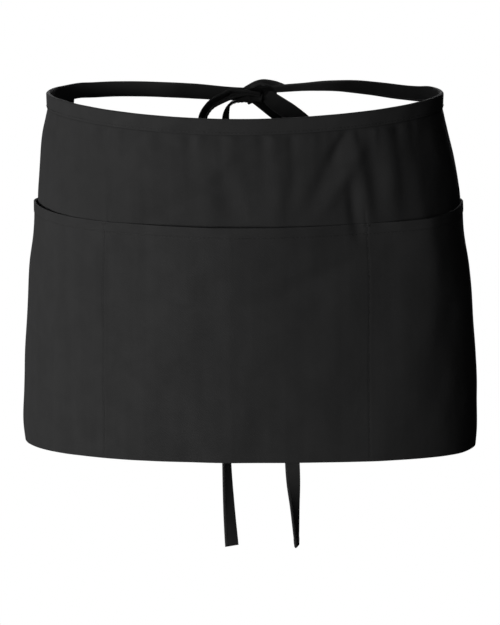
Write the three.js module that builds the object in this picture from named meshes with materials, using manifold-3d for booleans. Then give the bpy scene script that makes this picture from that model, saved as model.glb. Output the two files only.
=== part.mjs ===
// A waist apron with three pockets, as it hangs on a wearer: a cloth panel curved round the front of
// the hips, a pocket panel sewn over its lower part, a folded waistband along its top edge, and straps
// that run on from the waistband round the back to a bow.
// Millimetres, +Z up, the front faces -Y. The origin is the centre of the waist opening, level with the
// top edge of the waistband at the sides.
import * as THREE from "three";
import Module from "manifold-3d";
import { mergeVertices } from "three/addons/utils/BufferGeometryUtils.js";

// The cut of the apron
const panelWidth = 560;
const panelLength = 288;
const bandGather = 20; // cloth eased into the waistband, across the whole width
const pocketDepth = 193; // from the hem up to the pockets' mouth
const middlePocketWidth = 225;
const clothThickness = 1;
const strapWidth = 13;
const strapThickness = 2;
const bandWall = 1; // each wall of the waistband, which is folded over the panel
const clearance = 0.3; // left between pieces that touch

// The wearer's shape that the apron takes
const waistHalfWidth = 161.2;
const waistHalfDepth = 119;
const hemHalfWidth = 186.3;
const hemHalfDepth = 125;
const waistShift = -4.5; // the waist sits this far to the side of the hips
const wornShift = -13; // the apron is worn this far round to the side
const waistDip = 8.7; // the waistband is lower in front than at the sides
const hemDrop = 4.5; // the hem hangs lower at the wearer's left side
const mouthRise = 5; // the pockets' mouth is pulled up at both sides

// How far the folds and the pockets' mouths stand out
const foldRise = 3;
const middlePocketGape = 8;
const sidePocketGape = 7.5;

// The bow behind
const knotWidth = 36;
const knotHeight = 24;
const knotDepth = 19;
const knotShift = 10.5; // to the side of the middle
const knotSag = 10; // below the waistband's own level
const knotStandoff = 6; // from the straps' line round the waist out to the knot's middle
const loopLength = 110;
const tailLength = 395; // from the knot's middle to the cut end
const tailSpread = 60; // between the two tails

// How the hips widen from the waist, as shares of the way from the waist's size to the hem's.
const hipSections = [
  { drop: 0, wider: 0, deeper: 0, shift: 1 },
  { drop: 0.05, wider: 0, deeper: 0, shift: 1 },
  { drop: 0.115, wider: 0.2, deeper: 0.2, shift: 0.9 },
  { drop: 0.2, wider: 0.36, deeper: 0.4, shift: 0.46 },
  { drop: 0.29, wider: 0.46, deeper: 0.6, shift: 0.27 },
  { drop: 0.42, wider: 0.51, deeper: 0.8, shift: 0.22 },
  { drop: 0.5, wider: 0.69, deeper: 0.9, shift: 0.13 },
  { drop: 0.59, wider: 0.8, deeper: 0.96, shift: -0.05 },
  { drop: 0.68, wider: 0.875, deeper: 1, shift: -0.08 },
  { drop: 0.85, wider: 0.975, deeper: 1, shift: -0.1 },
  { drop: 1, wider: 1, deeper: 1, shift: -0.1 },
];

// Folds, each a soft ridge, or a hollow where rise is negative, from one place to another. Across and
// width are shares of the panel's width, drop of its length and rise of foldRise.
const folds = [
  { fromAcross: 0.19, fromDrop: 0.06, toAcross: 0.196, toDrop: 0.13, width: 0.014, rise: 0.6 },
  { fromAcross: 0.196, fromDrop: 0.12, toAcross: 0.122, toDrop: 0.28, width: 0.016, rise: 0.9 },
  { fromAcross: 0.195, fromDrop: 0.14, toAcross: 0.191, toDrop: 0.33, width: 0.013, rise: 0.9 },
  { fromAcross: 0.176, fromDrop: 0.065, toAcross: 0.114, toDrop: 0.24, width: 0.018, rise: -0.9 },
  { fromAcross: 0.172, fromDrop: 0.24, toAcross: 0.174, toDrop: 0.35, width: 0.013, rise: -0.9 },
  { fromAcross: 0.214, fromDrop: 0.12, toAcross: 0.211, toDrop: 0.31, width: 0.015, rise: -0.7 },
  { fromAcross: 0.253, fromDrop: 0.08, toAcross: 0.25, toDrop: 0.3, width: 0.018, rise: 0.8 },
  { fromAcross: 0.078, fromDrop: 0.08, toAcross: 0.06, toDrop: 0.32, width: 0.022, rise: 0.6 },
  { fromAcross: 0.006, fromDrop: 0.17, toAcross: 0.002, toDrop: 0.31, width: 0.024, rise: -0.6 },
  { fromAcross: -0.04, fromDrop: 0.2, toAcross: -0.124, toDrop: 0.32, width: 0.028, rise: -0.5 },
  { fromAcross: 0.164, fromDrop: 0.43, toAcross: 0.052, toDrop: 0.54, width: 0.034, rise: -0.7 },
  { fromAcross: 0.295, fromDrop: 0.1, toAcross: 0.305, toDrop: 0.6, width: 0.022, rise: 0.5 },
  { fromAcross: -0.26, fromDrop: 0.38, toAcross: -0.2, toDrop: 0.75, width: 0.04, rise: 0.5 },
  { fromAcross: 0.22, fromDrop: 0.62, toAcross: 0.17, toDrop: 0.9, width: 0.035, rise: -0.5 },
];

// Gathers where the panel is eased into the waistband: place across, height and how far down they reach.
const gathers = [
  { across: -0.055, rise: -0.25, reach: 0.07 },
  { across: 0.01, rise: -0.25, reach: 0.06 },
  { across: 0.062, rise: 0.3, reach: 0.08 },
  { across: 0.094, rise: -0.35, reach: 0.08 },
  { across: 0.128, rise: 0.3, reach: 0.07 },
  { across: 0.15, rise: -0.4, reach: 0.08 },
  { across: 0.198, rise: -0.3, reach: 0.07 },
  { across: 0.226, rise: 0.35, reach: 0.09 },
  { across: 0.268, rise: -0.35, reach: 0.08 },
];
const gatherWidth = 0.013; // share of the panel's width

// Rows down the cloth, as shares of the stretch from the waistband to the pockets' mouth and of the
// stretch from there to the hem.
const rowsAboveMouth = [0, 0.19, 0.42, 0.69, 1];
const rowsBelowMouth = [0.045, 0.13, 0.25, 0.38, 0.52, 0.66, 0.79, 0.91, 1];

// The three pockets across the panel, from the wearer's right: how many columns of faces each has, how
// far its mouth gapes and where, as a share of its width, the mouth gapes most.
const seam = middlePocketWidth / panelWidth / 2;
const pockets = [
  { from: -0.5, to: -seam, columns: 18, gape: sidePocketGape, peak: 0.65, sharpness: 3 },
  { from: -seam, to: seam, columns: 26, gape: middlePocketGape, peak: 0.5, sharpness: 2 },
  { from: seam, to: 0.5, columns: 18, gape: sidePocketGape, peak: 0.35, sharpness: 3 },
];
const gapeFade = 1.3; // how fast the gape closes on the way down to the hem

// The straps from the ends of the waistband to the knot: share of the way round, sag as a share of
// knotSag, lean of the strap's lower edge outwards in degrees, and width as a share of strapWidth.
const leftStrapStations = [
  { along: 0, sag: 0, lean: 0, width: 1 },
  { along: 0.04, sag: 0, lean: 3, width: 1 },
  { along: 0.14, sag: 0.1, lean: 2, width: 1 },
  { along: 0.3, sag: 0.2, lean: 3, width: 1 },
  { along: 0.42, sag: 0.32, lean: 3, width: 1 },
  { along: 0.56, sag: 0.5, lean: 3, width: 1 },
  { along: 0.7, sag: 0.7, lean: 3, width: 1 },
  { along: 0.84, sag: 0.93, lean: 2, width: 0.9 },
  { along: 1, sag: 1, lean: 0, width: 0.76 },
];
const rightStrapStations = [
  { along: 0, sag: 0, lean: 0, width: 1 },
  { along: 0.04, sag: 0, lean: 3, width: 1 },
  { along: 0.14, sag: 0.14, lean: 8, width: 1 },
  { along: 0.28, sag: 0.2, lean: 12, width: 1 },
  { along: 0.45, sag: 0.12, lean: 18, width: 1 },
  { along: 0.6, sag: 0.06, lean: 32, width: 1 },
  { along: 0.75, sag: 0.17, lean: 50, width: 0.94 },
  { along: 0.88, sag: 0.42, lean: 55, width: 0.84 },
  { along: 1, sag: 0.62, lean: 55, width: 0.76 },
];

// The bow's loops from the knot and back to it: out to the side and drop as shares of loopLength, depth
// behind the knot's middle as a share of knotDepth, width as a share of strapWidth, and the direction in
// which the strap is wide.
const leftLoopStations = [
  { out: -0.03, drop: -0.008, depth: 0.16, width: 0.66, wide: [0, 1, 0] },
  { out: -0.17, drop: -0.008, depth: 0.16, width: 0.68, wide: [0, 1, 0] },
  { out: -0.274, drop: 0.006, depth: 0.15, width: 0.8, wide: [0, 1, 0.1] },
  { out: -0.339, drop: 0.032, depth: 0.14, width: 0.95, wide: [0, 1, 0.15] },
  { out: -0.424, drop: 0.092, depth: 0.15, width: 1, wide: [0.1, 1, 0.15] },
  { out: -0.486, drop: 0.2, depth: 0.18, width: 1, wide: [0.15, 1, 0] },
  { out: -0.534, drop: 0.38, depth: 0.24, width: 1, wide: [0.15, 1, 0] },
  { out: -0.564, drop: 0.6, depth: 0.32, width: 1, wide: [0.1, 1, 0] },
  { out: -0.569, drop: 0.82, depth: 0.4, width: 1, wide: [0.05, 1, 0] },
  { out: -0.564, drop: 0.93, depth: 0.43, width: 1, wide: [0, 1, 0] },
  { out: -0.526, drop: 0.965, depth: 0.43, width: 1, wide: [0, 1, 0] },
  { out: -0.492, drop: 0.92, depth: 0.42, width: 1, wide: [0, 1, 0] },
  { out: -0.486, drop: 0.8, depth: 0.38, width: 1, wide: [0.05, 1, 0] },
  { out: -0.496, drop: 0.58, depth: 0.3, width: 1, wide: [0.1, 1, 0] },
  { out: -0.488, drop: 0.38, depth: 0.24, width: 1, wide: [0.15, 1, 0] },
  { out: -0.454, drop: 0.225, depth: 0.18, width: 1, wide: [0.15, 1, 0] },
  { out: -0.404, drop: 0.128, depth: 0.15, width: 1, wide: [0.1, 1, 0.15] },
  { out: -0.336, drop: 0.07, depth: 0.14, width: 0.95, wide: [0, 1, 0.15] },
  { out: -0.261, drop: 0.04, depth: 0.15, width: 0.8, wide: [0, 1, 0.1] },
  { out: -0.17, drop: 0.024, depth: 0.16, width: 0.68, wide: [0, 1, 0] },
  { out: -0.03, drop: 0.022, depth: 0.16, width: 0.66, wide: [0, 1, 0] },
];
const rightLoopStations = [
  { out: 0.02, drop: 0.01, depth: -0.26, width: 0.72, wide: [0.5, 0, 0.86] },
  { out: 0.115, drop: 0.086, depth: -0.34, width: 0.86, wide: [0.54, 0, 0.84] },
  { out: 0.195, drop: 0.138, depth: -0.4, width: 0.97, wide: [0.54, 0, 0.84] },
  { out: 0.295, drop: 0.208, depth: -0.45, width: 1, wide: [0.56, 0, 0.82] },
  { out: 0.435, drop: 0.32, depth: -0.48, width: 1, wide: [0.62, 0, 0.78] },
  { out: 0.565, drop: 0.45, depth: -0.46, width: 1, wide: [0.68, 0, 0.73] },
  { out: 0.665, drop: 0.58, depth: -0.32, width: 1, wide: [0.74, 0, 0.67] },
  { out: 0.72, drop: 0.67, depth: 0, width: 1, wide: [0.76, 0, 0.65] },
  { out: 0.72, drop: 0.68, depth: 0.4, width: 1, wide: [0.76, 0, 0.65] },
  { out: 0.655, drop: 0.6, depth: 0.72, width: 1, wide: [0.74, 0, 0.67] },
  { out: 0.535, drop: 0.465, depth: 0.84, width: 1, wide: [0.68, 0, 0.73] },
  { out: 0.395, drop: 0.32, depth: 0.8, width: 1, wide: [0.6, 0, 0.8] },
  { out: 0.265, drop: 0.2, depth: 0.68, width: 1, wide: [0.54, 0, 0.84] },
  { out: 0.155, drop: 0.115, depth: 0.5, width: 0.9, wide: [0.54, 0, 0.84] },
  { out: 0.02, drop: 0.01, depth: 0.3, width: 0.72, wide: [0.5, 0, 0.86] },
];

// The tails, which hang from the knot: out to the side as a share of tailSpread, drop as a share of
// tailLength, depth as a share of knotDepth, and width and its direction as in the loops.
const leftTailStations = [
  { out: -0.05, drop: 0.0153, depth: 0.16, width: 0.66, wide: [0, 1, 0] },
  { out: -0.31, drop: 0.0153, depth: 0.16, width: 0.68, wide: [0, 1, 0] },
  { out: -0.4, drop: 0.0175, depth: 0.16, width: 0.8, wide: [0, 1, 0] },
  { out: -0.47, drop: 0.025, depth: 0.17, width: 0.9, wide: [0, 1, 0] },
  { out: -0.512, drop: 0.042, depth: 0.2, width: 0.98, wide: [0.2, 1, 0] },
  { out: -0.522, drop: 0.065, depth: 0.26, width: 1, wide: [0.35, 0.92, 0] },
  { out: -0.533, drop: 0.15, depth: 0.5, width: 1, wide: [0.4, 0.92, 0] },
  { out: -0.538, drop: 0.3, depth: 0.95, width: 1, wide: [0.42, 0.9, 0] },
  { out: -0.533, drop: 0.5, depth: 1.25, width: 1, wide: [0.4, 0.92, 0] },
  { out: -0.525, drop: 0.68, depth: 1.3, width: 1, wide: [0.4, 0.92, 0] },
  { out: -0.515, drop: 0.82, depth: 1.25, width: 1, wide: [0.45, 0.9, 0] },
  { out: -0.48, drop: 0.92, depth: 1.2, width: 1, wide: [0.66, 0.75, 0] },
  { out: -0.44, drop: 1, depth: 1.16, width: 1, wide: [0.83, 0.55, 0] },
];
const rightTailStations = [
  { out: 0.08, drop: 0.008, depth: 0.02, width: 0.72, wide: [0.7, 0.7, 0] },
  { out: 0.14, drop: 0.03, depth: 0.02, width: 0.8, wide: [0.7, 0.7, 0] },
  { out: 0.215, drop: 0.055, depth: 0.05, width: 0.92, wide: [0.6, 0.8, 0] },
  { out: 0.26, drop: 0.09, depth: 0.2, width: 1, wide: [0.7, 0.7, 0] },
  { out: 0.3, drop: 0.16, depth: 0.5, width: 1, wide: [0.85, 0.5, 0] },
  { out: 0.35, drop: 0.3, depth: 0.9, width: 1, wide: [0.95, 0.25, 0] },
  { out: 0.385, drop: 0.5, depth: 1.22, width: 1, wide: [1, 0.1, 0] },
  { out: 0.4, drop: 0.68, depth: 1.27, width: 1, wide: [1, 0, 0] },
  { out: 0.415, drop: 0.82, depth: 1.22, width: 1, wide: [1, 0.12, 0] },
  { out: 0.45, drop: 0.92, depth: 1.18, width: 1, wide: [0.55, 0.83, 0] },
  { out: 0.48, drop: 1, depth: 1.14, width: 1, wide: [0.18, 1, 0] },
];

// The knot's outline, from one end to the other: shares of half its length and of its radius.
const knotProfile = [
  { along: -1, radius: 0 },
  { along: -1, radius: 0.58 },
  { along: -0.86, radius: 0.8 },
  { along: -0.5, radius: 0.96 },
  { along: 0, radius: 1 },
  { along: 0.5, radius: 0.96 },
  { along: 0.86, radius: 0.8 },
  { along: 1, radius: 0.58 },
  { along: 1, radius: 0 },
];
const knotSides = 20;
const knotTilt = THREE.MathUtils.degToRad(8);
const strapSteps = 20;
const loopSteps = 34;
const tailSteps = 24;

const mouthDrop = panelLength - pocketDepth;
const foldStart = 0.05; // share of the panel's length over which folds begin below the waistband
const foldRunOut = 0.25; // how far a fold fades out past each end, as a share of its length
const gatherStart = 0.05; // shares of the panel's length between which its width is eased out
const gatherEnd = 0.5;
const hemDropStart = 0.5; // share of the panel's length where the lower side begins to drop
const riseSharpness = 8; // how closely the mouth's rise keeps to the sides
const arcSteps = 720;

const wasm = await Module();
wasm.setup();

// One column of a table at a place between its rows.
function tableAt(rows, key, place, column) {
  const next = Math.max(1, rows.findIndex((row) => row[key] >= place));
  const low = rows[next - 1];
  const high = rows[next];
  const share = THREE.MathUtils.clamp((place - low[key]) / (high[key] - low[key]), 0, 1);
  return THREE.MathUtils.lerp(low[column], high[column], share);
}

// The level section of the hips at a drop below the waist: an ellipse, with its arc length from the
// front centre tabulated so that a length measured on the cloth gives a place on it.
function hipSection(drop) {
  const share = THREE.MathUtils.clamp(drop / panelLength, 0, 1);
  const halfWidth = THREE.MathUtils.lerp(
    waistHalfWidth, hemHalfWidth, tableAt(hipSections, "drop", share, "wider"));
  const halfDepth = THREE.MathUtils.lerp(
    waistHalfDepth, hemHalfDepth, tableAt(hipSections, "drop", share, "deeper"));
  const shift = waistShift * tableAt(hipSections, "drop", share, "shift");
  const arcs = [0];
  for (let i = 1; i <= arcSteps; i++) {
    const angle = (Math.PI * (i - 0.5)) / arcSteps;
    const speed = Math.hypot(halfWidth * Math.cos(angle), halfDepth * Math.sin(angle));
    arcs.push(arcs[i - 1] + (speed * Math.PI) / arcSteps);
  }
  const angleAt = (arc) => {
    const length = Math.min(Math.abs(arc), arcs[arcSteps] * 0.999);
    const next = arcs.findIndex((value) => value > length);
    const share = (length - arcs[next - 1]) / (arcs[next] - arcs[next - 1]);
    return (Math.sign(arc) * Math.PI * (next - 1 + share)) / arcSteps;
  };
  return { halfWidth, halfDepth, shift, drop, share, angleAt };
}

// The outward direction of a section at an angle from the front centre.
function outward(section, angle) {
  return new THREE.Vector3(
    section.halfDepth * Math.sin(angle), -section.halfWidth * Math.cos(angle), 0).normalize();
}

// A point at an angle round a section, moved outwards by a distance, at a height.
function sectionPoint(section, angle, out, height) {
  const point = new THREE.Vector3(
    section.shift + section.halfWidth * Math.sin(angle), -section.halfDepth * Math.cos(angle), height);
  return point.addScaledVector(outward(section, angle), out);
}

// How far the folds and gathers push the cloth outwards at a place on the panel.
function foldHeight(across, dropShare) {
  let height = 0;
  for (const fold of folds) {
    const along = (dropShare - fold.fromDrop) / (fold.toDrop - fold.fromDrop);
    const centre = THREE.MathUtils.lerp(fold.fromAcross, fold.toAcross, along);
    const reach = 1 + 2 * foldRunOut;
    const fade = Math.sin((Math.PI * THREE.MathUtils.clamp(along + foldRunOut, 0, reach)) / reach);
    height += fold.rise * fade * Math.exp(-(((across - centre) / fold.width) ** 2));
  }
  const bandShare = strapWidth / panelLength;
  for (const gather of gathers) {
    const fade = Math.exp(-Math.max(0, dropShare - bandShare) / gather.reach);
    height += gather.rise * fade * Math.exp(-(((across - gather.across) / gatherWidth) ** 2));
  }
  const start = THREE.MathUtils.smoothstep(dropShare, bandShare, bandShare + foldStart);
  return foldRise * height * start;
}

// A point of the apron: across is a share of the panel's width from its middle, drop a length below
// the waistband's top edge, and out a distance outwards from the middle of the body panel's cloth.
function apronPoint(section, across, drop, out) {
  const eased = 1 - THREE.MathUtils.smoothstep(section.share, gatherStart, gatherEnd);
  const width = panelWidth - bandGather * eased;
  const angle = section.angleAt(wornShift + across * width);
  const dip = waistDip * Math.max(0, Math.cos(angle)) ** 2 * Math.max(0, 1 - section.drop / mouthDrop);
  const nearHem = THREE.MathUtils.smoothstep(section.share, hemDropStart, 1);
  const low = hemDrop * nearHem * Math.max(0, Math.sin(angle)) ** 2;
  const nearMouth = Math.max(0, 1 - Math.abs(section.drop - mouthDrop) / mouthDrop);
  const rise = mouthRise * nearMouth * Math.sin(angle) ** riseSharpness;
  return sectionPoint(section, angle, out + foldHeight(across, section.share), rise - dip - low - drop);
}

// How far the pocket panel stands off the body panel at a place.
function pocketGap(across, drop) {
  const pocket = pockets.find(({ to }) => across <= to + 1e-9) ?? pockets[2];
  const place = THREE.MathUtils.clamp((across - pocket.from) / (pocket.to - pocket.from), 0, 1);
  const skewed = place ** (Math.log(0.5) / Math.log(pocket.peak));
  const bulge = Math.abs(Math.sin(Math.PI * skewed)) ** pocket.sharpness;
  const down = THREE.MathUtils.clamp((drop - mouthDrop) / pocketDepth, 0, 1);
  return pocket.gape * bulge * (1 - down) ** gapeFade;
}

// A closed geometry from its vertices and faces, turned so that the faces point out.
function closedGeometry(points, faces) {
  let volume = 0;
  for (const [a, b, c] of faces) {
    volume += points[a].dot(new THREE.Vector3().crossVectors(points[b], points[c]));
  }
  const turned = volume < 0 ? faces.map(([a, b, c]) => [a, c, b]) : faces;
  const geometry = new THREE.BufferGeometry().setFromPoints(points);
  geometry.setIndex(turned.flat());
  geometry.computeVertexNormals();
  return geometry;
}

// A wall from sections in a row. Each section has a face and a back, with equally many points on both.
function wallGeometry(sections) {
  const count = sections[0].face.length;
  const points = sections.flatMap(({ face, back }) => [...face, ...back]);
  const face = (i, j) => i * 2 * count + j;
  const back = (i, j) => face(i, j) + count;
  const faces = [];
  const quad = (a, b, c, d) => faces.push([a, b, c], [a, c, d]);
  for (let i = 0; i + 1 < sections.length; i++) {
    for (let j = 0; j + 1 < count; j++) {
      quad(face(i, j), face(i + 1, j), face(i + 1, j + 1), face(i, j + 1));
      quad(back(i, j), back(i, j + 1), back(i + 1, j + 1), back(i + 1, j));
    }
    quad(face(i, 0), back(i, 0), back(i + 1, 0), face(i + 1, 0));
    quad(face(i, count - 1), face(i + 1, count - 1), back(i + 1, count - 1), back(i, count - 1));
  }
  const last = sections.length - 1;
  for (let j = 0; j + 1 < count; j++) {
    quad(face(0, j), face(0, j + 1), back(0, j + 1), back(0, j));
    quad(face(last, j), back(last, j), back(last, j + 1), face(last, j + 1));
  }
  return closedGeometry(points, faces);
}

// Places across the panel, one for each column of faces, with a column line on every pocket seam.
const columns = pockets.flatMap(({ from, to, columns: count }) =>
  Array.from({ length: count }, (_, i) => THREE.MathUtils.lerp(from, to, i / count)));
columns.push(0.5);

const tuckedTop = bandWall + clearance; // the panel's top edge, inside the fold of the waistband
const upperRows = [
  tuckedTop,
  ...rowsAboveMouth.map((share) => THREE.MathUtils.lerp(strapWidth, mouthDrop, share)),
];
const lowerRows = rowsBelowMouth.map((share) => mouthDrop + share * pocketDepth);

// A sheet of cloth over the given rows, between two distances out from the body panel's middle.
function sheetGeometry(rows, inner, outer) {
  const sections = rows.map(hipSection);
  return wallGeometry(columns.map((across) => ({
    face: rows.map((drop, j) => apronPoint(sections[j], across, drop, outer(across, drop))),
    back: rows.map((drop, j) => apronPoint(sections[j], across, drop, inner(across, drop))),
  })));
}

function bodyPanelGeometry() {
  const half = clothThickness / 2;
  return sheetGeometry([...upperRows, ...lowerRows], () => -half, () => half);
}

function pocketPanelGeometry() {
  const inner = (across, drop) => clothThickness / 2 + clearance + pocketGap(across, drop);
  return sheetGeometry(
    [mouthDrop, ...lowerRows], inner, (across, drop) => inner(across, drop) + clothThickness);
}

// The waistband is a strip folded over the panel's top edge, so its section is a narrow arch.
function waistbandGeometry() {
  const channel = clothThickness / 2 + clearance;
  const outside = channel + bandWall;
  const face = [[strapWidth, outside], [0, outside], [0, -outside], [strapWidth, -outside]];
  const back = [[strapWidth, channel], [bandWall, channel], [bandWall, -channel], [strapWidth, -channel]];
  const sections = new Map([strapWidth, 0, bandWall].map((drop) => [drop, hipSection(drop)]));
  const skin = (corners, across) =>
    corners.map(([drop, out]) => apronPoint(sections.get(drop), across, drop, out));
  return wallGeometry(columns.map((across) => ({ face: skin(face, across), back: skin(back, across) })));
}

// A flat strap along a smooth line through its stations. Grow widens it all round.
function strapGeometry(stations, steps) {
  const line = new THREE.CatmullRomCurve3(stations.map(({ point }) => point), false, "centripetal");
  const sections = [];
  for (let i = 0; i <= steps; i++) {
    const place = (i / steps) * (stations.length - 1);
    const low = Math.min(Math.floor(place), stations.length - 2);
    const share = place - low;
    const along = line.getTangent(i / steps);
    const wide = stations[low].wide.clone().lerp(stations[low + 1].wide, share);
    wide.addScaledVector(along, -wide.dot(along)).normalize();
    const thin = new THREE.Vector3().crossVectors(along, wide);
    const halfWidth = THREE.MathUtils.lerp(stations[low].width, stations[low + 1].width, share) / 2;
    const corner = (side, out) => line.getPoint(i / steps)
      .addScaledVector(wide, side * halfWidth)
      .addScaledVector(thin, (out * strapThickness) / 2);
    sections.push({ face: [corner(1, 1), corner(-1, 1)], back: [corner(1, -1), corner(-1, -1)] });
  }
  return wallGeometry(sections);
}

function solidOf(geometry) {
  const merged = geometry.clone();
  merged.deleteAttribute("normal");
  merged.deleteAttribute("uv");
  const welded = mergeVertices(merged, 1e-3);
  return new wasm.Manifold(new wasm.Mesh({
    numProp: 3,
    vertProperties: welded.attributes.position.array,
    triVerts: new Uint32Array(welded.index.array),
  }));
}

function geometryOf(solid) {
  const mesh = solid.getMesh();
  const geometry = new THREE.BufferGeometry();
  geometry.setAttribute("position", new THREE.BufferAttribute(mesh.vertProperties, 3));
  geometry.setIndex(new THREE.BufferAttribute(mesh.triVerts, 1));
  geometry.computeVertexNormals();
  return geometry;
}

const bandMiddle = hipSection(strapWidth / 2);
const knotCentre = new THREE.Vector3(
  knotShift, bandMiddle.halfDepth + knotStandoff, -strapWidth / 2 - knotSag);

// The knot is a barrel across the back, with an oval section, grown by a distance all round.
function knotGeometry(grow) {
  const outline = knotProfile.map(({ along, radius }) => new THREE.Vector2(
    radius === 0 ? 0 : radius * (1 + (2 * grow) / knotDepth), along * (knotWidth / 2 + grow)));
  const geometry = new THREE.LatheGeometry(outline, knotSides);
  geometry.scale(knotDepth / 2, 1, knotHeight / 2);
  geometry.rotateZ(-Math.PI / 2);
  geometry.rotateY(knotTilt);
  geometry.translate(knotCentre.x, knotCentre.y, knotCentre.z);
  return geometry;
}

// A strap's stations round the waist, from an end of the waistband to the knot.
function waistStrapStations(rows, side) {
  const width = panelWidth - bandGather;
  const start = bandMiddle.angleAt(wornShift + side * (width / 2 + clearance));
  const knotAngle = Math.PI - Math.asin(
    THREE.MathUtils.clamp((knotShift - bandMiddle.shift) / bandMiddle.halfWidth, -1, 1));
  const end = side > 0 ? knotAngle : knotAngle - 2 * Math.PI;
  return rows.map(({ along, sag, lean, width: share }) => {
    const angle = THREE.MathUtils.lerp(start, end, along);
    const lift = THREE.MathUtils.degToRad(lean);
    return {
      point: sectionPoint(bandMiddle, angle, 0, -strapWidth / 2 - knotSag * sag),
      wide: outward(bandMiddle, angle).multiplyScalar(-Math.sin(lift))
        .add(new THREE.Vector3(0, 0, Math.cos(lift))),
      width: strapWidth * share,
    };
  });
}

// A strap's stations in the bow, measured from the knot's middle.
function bowStations(rows, reach, fall) {
  return rows.map(({ out, drop, depth, width, wide }) => ({
    point: new THREE.Vector3(out * reach, depth * knotDepth, -drop * fall).add(knotCentre),
    wide: new THREE.Vector3(...wide),
    width: strapWidth * width,
  }));
}

// A strap whose end inside the knot is cut off at the knot's surface.
const knotHollow = solidOf(knotGeometry(clearance));
function cutAtKnot(geometry) {
  const pieces = solidOf(geometry).subtract(knotHollow).decompose();
  return geometryOf(pieces.reduce((a, b) => (b.volume() > a.volume() ? b : a)));
}

const clothBlack = new THREE.MeshStandardMaterial({ color: 0x1d1d1f, roughness: 0.92, metalness: 0 });
const pocketBlack = new THREE.MeshStandardMaterial({ color: 0x1e1e20, roughness: 0.92, metalness: 0 });
const strapBlack = new THREE.MeshStandardMaterial({ color: 0x171719, roughness: 0.9, metalness: 0 });

const apron = new THREE.Group();
function add(name, geometry, material) {
  const mesh = new THREE.Mesh(geometry, material);
  mesh.name = name;
  apron.add(mesh);
}

add("body_panel", bodyPanelGeometry(), clothBlack);
add("pocket_panel", pocketPanelGeometry(), pocketBlack);
add("waistband", waistbandGeometry(), strapBlack);
add("bow_knot", knotGeometry(0), strapBlack);

const straps = [
  ["strap_left", waistStrapStations(leftStrapStations, -1), strapSteps],
  ["strap_right", waistStrapStations(rightStrapStations, 1), strapSteps],
  ["bow_loop_left", bowStations(leftLoopStations, loopLength, loopLength), loopSteps],
  ["bow_loop_right", bowStations(rightLoopStations, loopLength, loopLength), loopSteps],
  ["strap_tail_left", bowStations(leftTailStations, tailSpread, tailLength), tailSteps],
  ["strap_tail_right", bowStations(rightTailStations, tailSpread, tailLength), tailSteps],
];
for (const [name, stations, steps] of straps) {
  add(name, cutAtKnot(strapGeometry(stations, steps)), strapBlack);
}

export default apron;
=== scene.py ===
"""A short black waist apron with three pockets, as worn, its straps tied in a bow behind.

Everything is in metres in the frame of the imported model: Z up, the front faces -Y, and the origin is the
centre of the waist opening, level with the waistband's top edge at the sides.
"""
import math
import bpy
import numpy as np
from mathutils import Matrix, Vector


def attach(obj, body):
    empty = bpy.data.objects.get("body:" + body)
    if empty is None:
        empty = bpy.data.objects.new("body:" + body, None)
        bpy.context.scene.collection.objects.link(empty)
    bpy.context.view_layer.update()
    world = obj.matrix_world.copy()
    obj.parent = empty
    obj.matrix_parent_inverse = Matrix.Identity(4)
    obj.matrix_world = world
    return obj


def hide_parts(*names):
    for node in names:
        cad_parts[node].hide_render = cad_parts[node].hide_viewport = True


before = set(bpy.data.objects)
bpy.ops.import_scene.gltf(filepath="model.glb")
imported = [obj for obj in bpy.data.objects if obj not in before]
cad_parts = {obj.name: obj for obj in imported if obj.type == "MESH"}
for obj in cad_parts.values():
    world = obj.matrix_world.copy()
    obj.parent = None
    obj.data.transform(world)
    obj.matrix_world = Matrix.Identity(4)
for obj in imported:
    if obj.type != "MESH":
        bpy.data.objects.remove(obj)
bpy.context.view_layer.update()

bl_info = {
    "name": "Waist apron",
    "version": (1, 0, 0),
    "blender": (4, 5, 0),
    "location": "3D View > Sidebar > Apron",
    "description": "A waist apron with three pockets and a bow, built from its cut and its worn shape",
    "category": "Add Mesh",
}


# The cut, the colours and the studio, as a user would change them

def length(name, description, default):
    return bpy.props.FloatProperty(
        name=name, description=description, default=default, unit="LENGTH", subtype="DISTANCE", precision=4
    )


def colour(name, description, default):
    return bpy.props.FloatVectorProperty(
        name=name, description=description, default=default, subtype="COLOR", size=3, min=0, max=1
    )


def power(name, description, default):
    return bpy.props.FloatProperty(name=name, description=description, default=default, min=0, unit="POWER")


class ApronCut(bpy.types.PropertyGroup):
    panel_width: length("Panel width", "From side hem to side hem, along the hem", 0.56)
    panel_length: length("Panel length", "From the waistband's top edge to the hem", 0.288)
    band_gather: length("Gather", "Width eased into the waistband", 0.02)
    pocket_depth: length("Pocket depth", "From the hem up to the pockets' mouth", 0.193)
    middle_pocket: length("Middle pocket", "Between the two lines of stitches", 0.225)
    cloth: length("Cloth", "Thickness of one layer, with its folds' air", 0.001)
    strap_width: length("Strap width", "Width of the waistband and of the straps", 0.013)
    strap_thick: length("Strap thickness", "Thickness of the folded strap", 0.002)
    mouth_hem: length("Mouth hem", "Depth of the hem along the pockets' mouth", 0.0085)
    side_hem: length("Side hem", "Width of the hem down both sides", 0.01)
    gape_middle: length("Middle gape", "How far the middle pocket's mouth stands off", 0.008)
    gape_left: length("Left gape", "How far the left pocket's mouth stands off", 0.0026)
    gape_right: length("Right gape", "How far the right pocket's mouth stands off", 0.0072)
    fold_rise: length("Fold height", "Height of the highest fold", 0.0035)
    stitch: length("Stitch", "Length of one stitch, with the gap after it", 0.0032)
    thread: length("Thread", "Thickness of the sewing thread", 0.00042)


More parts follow.
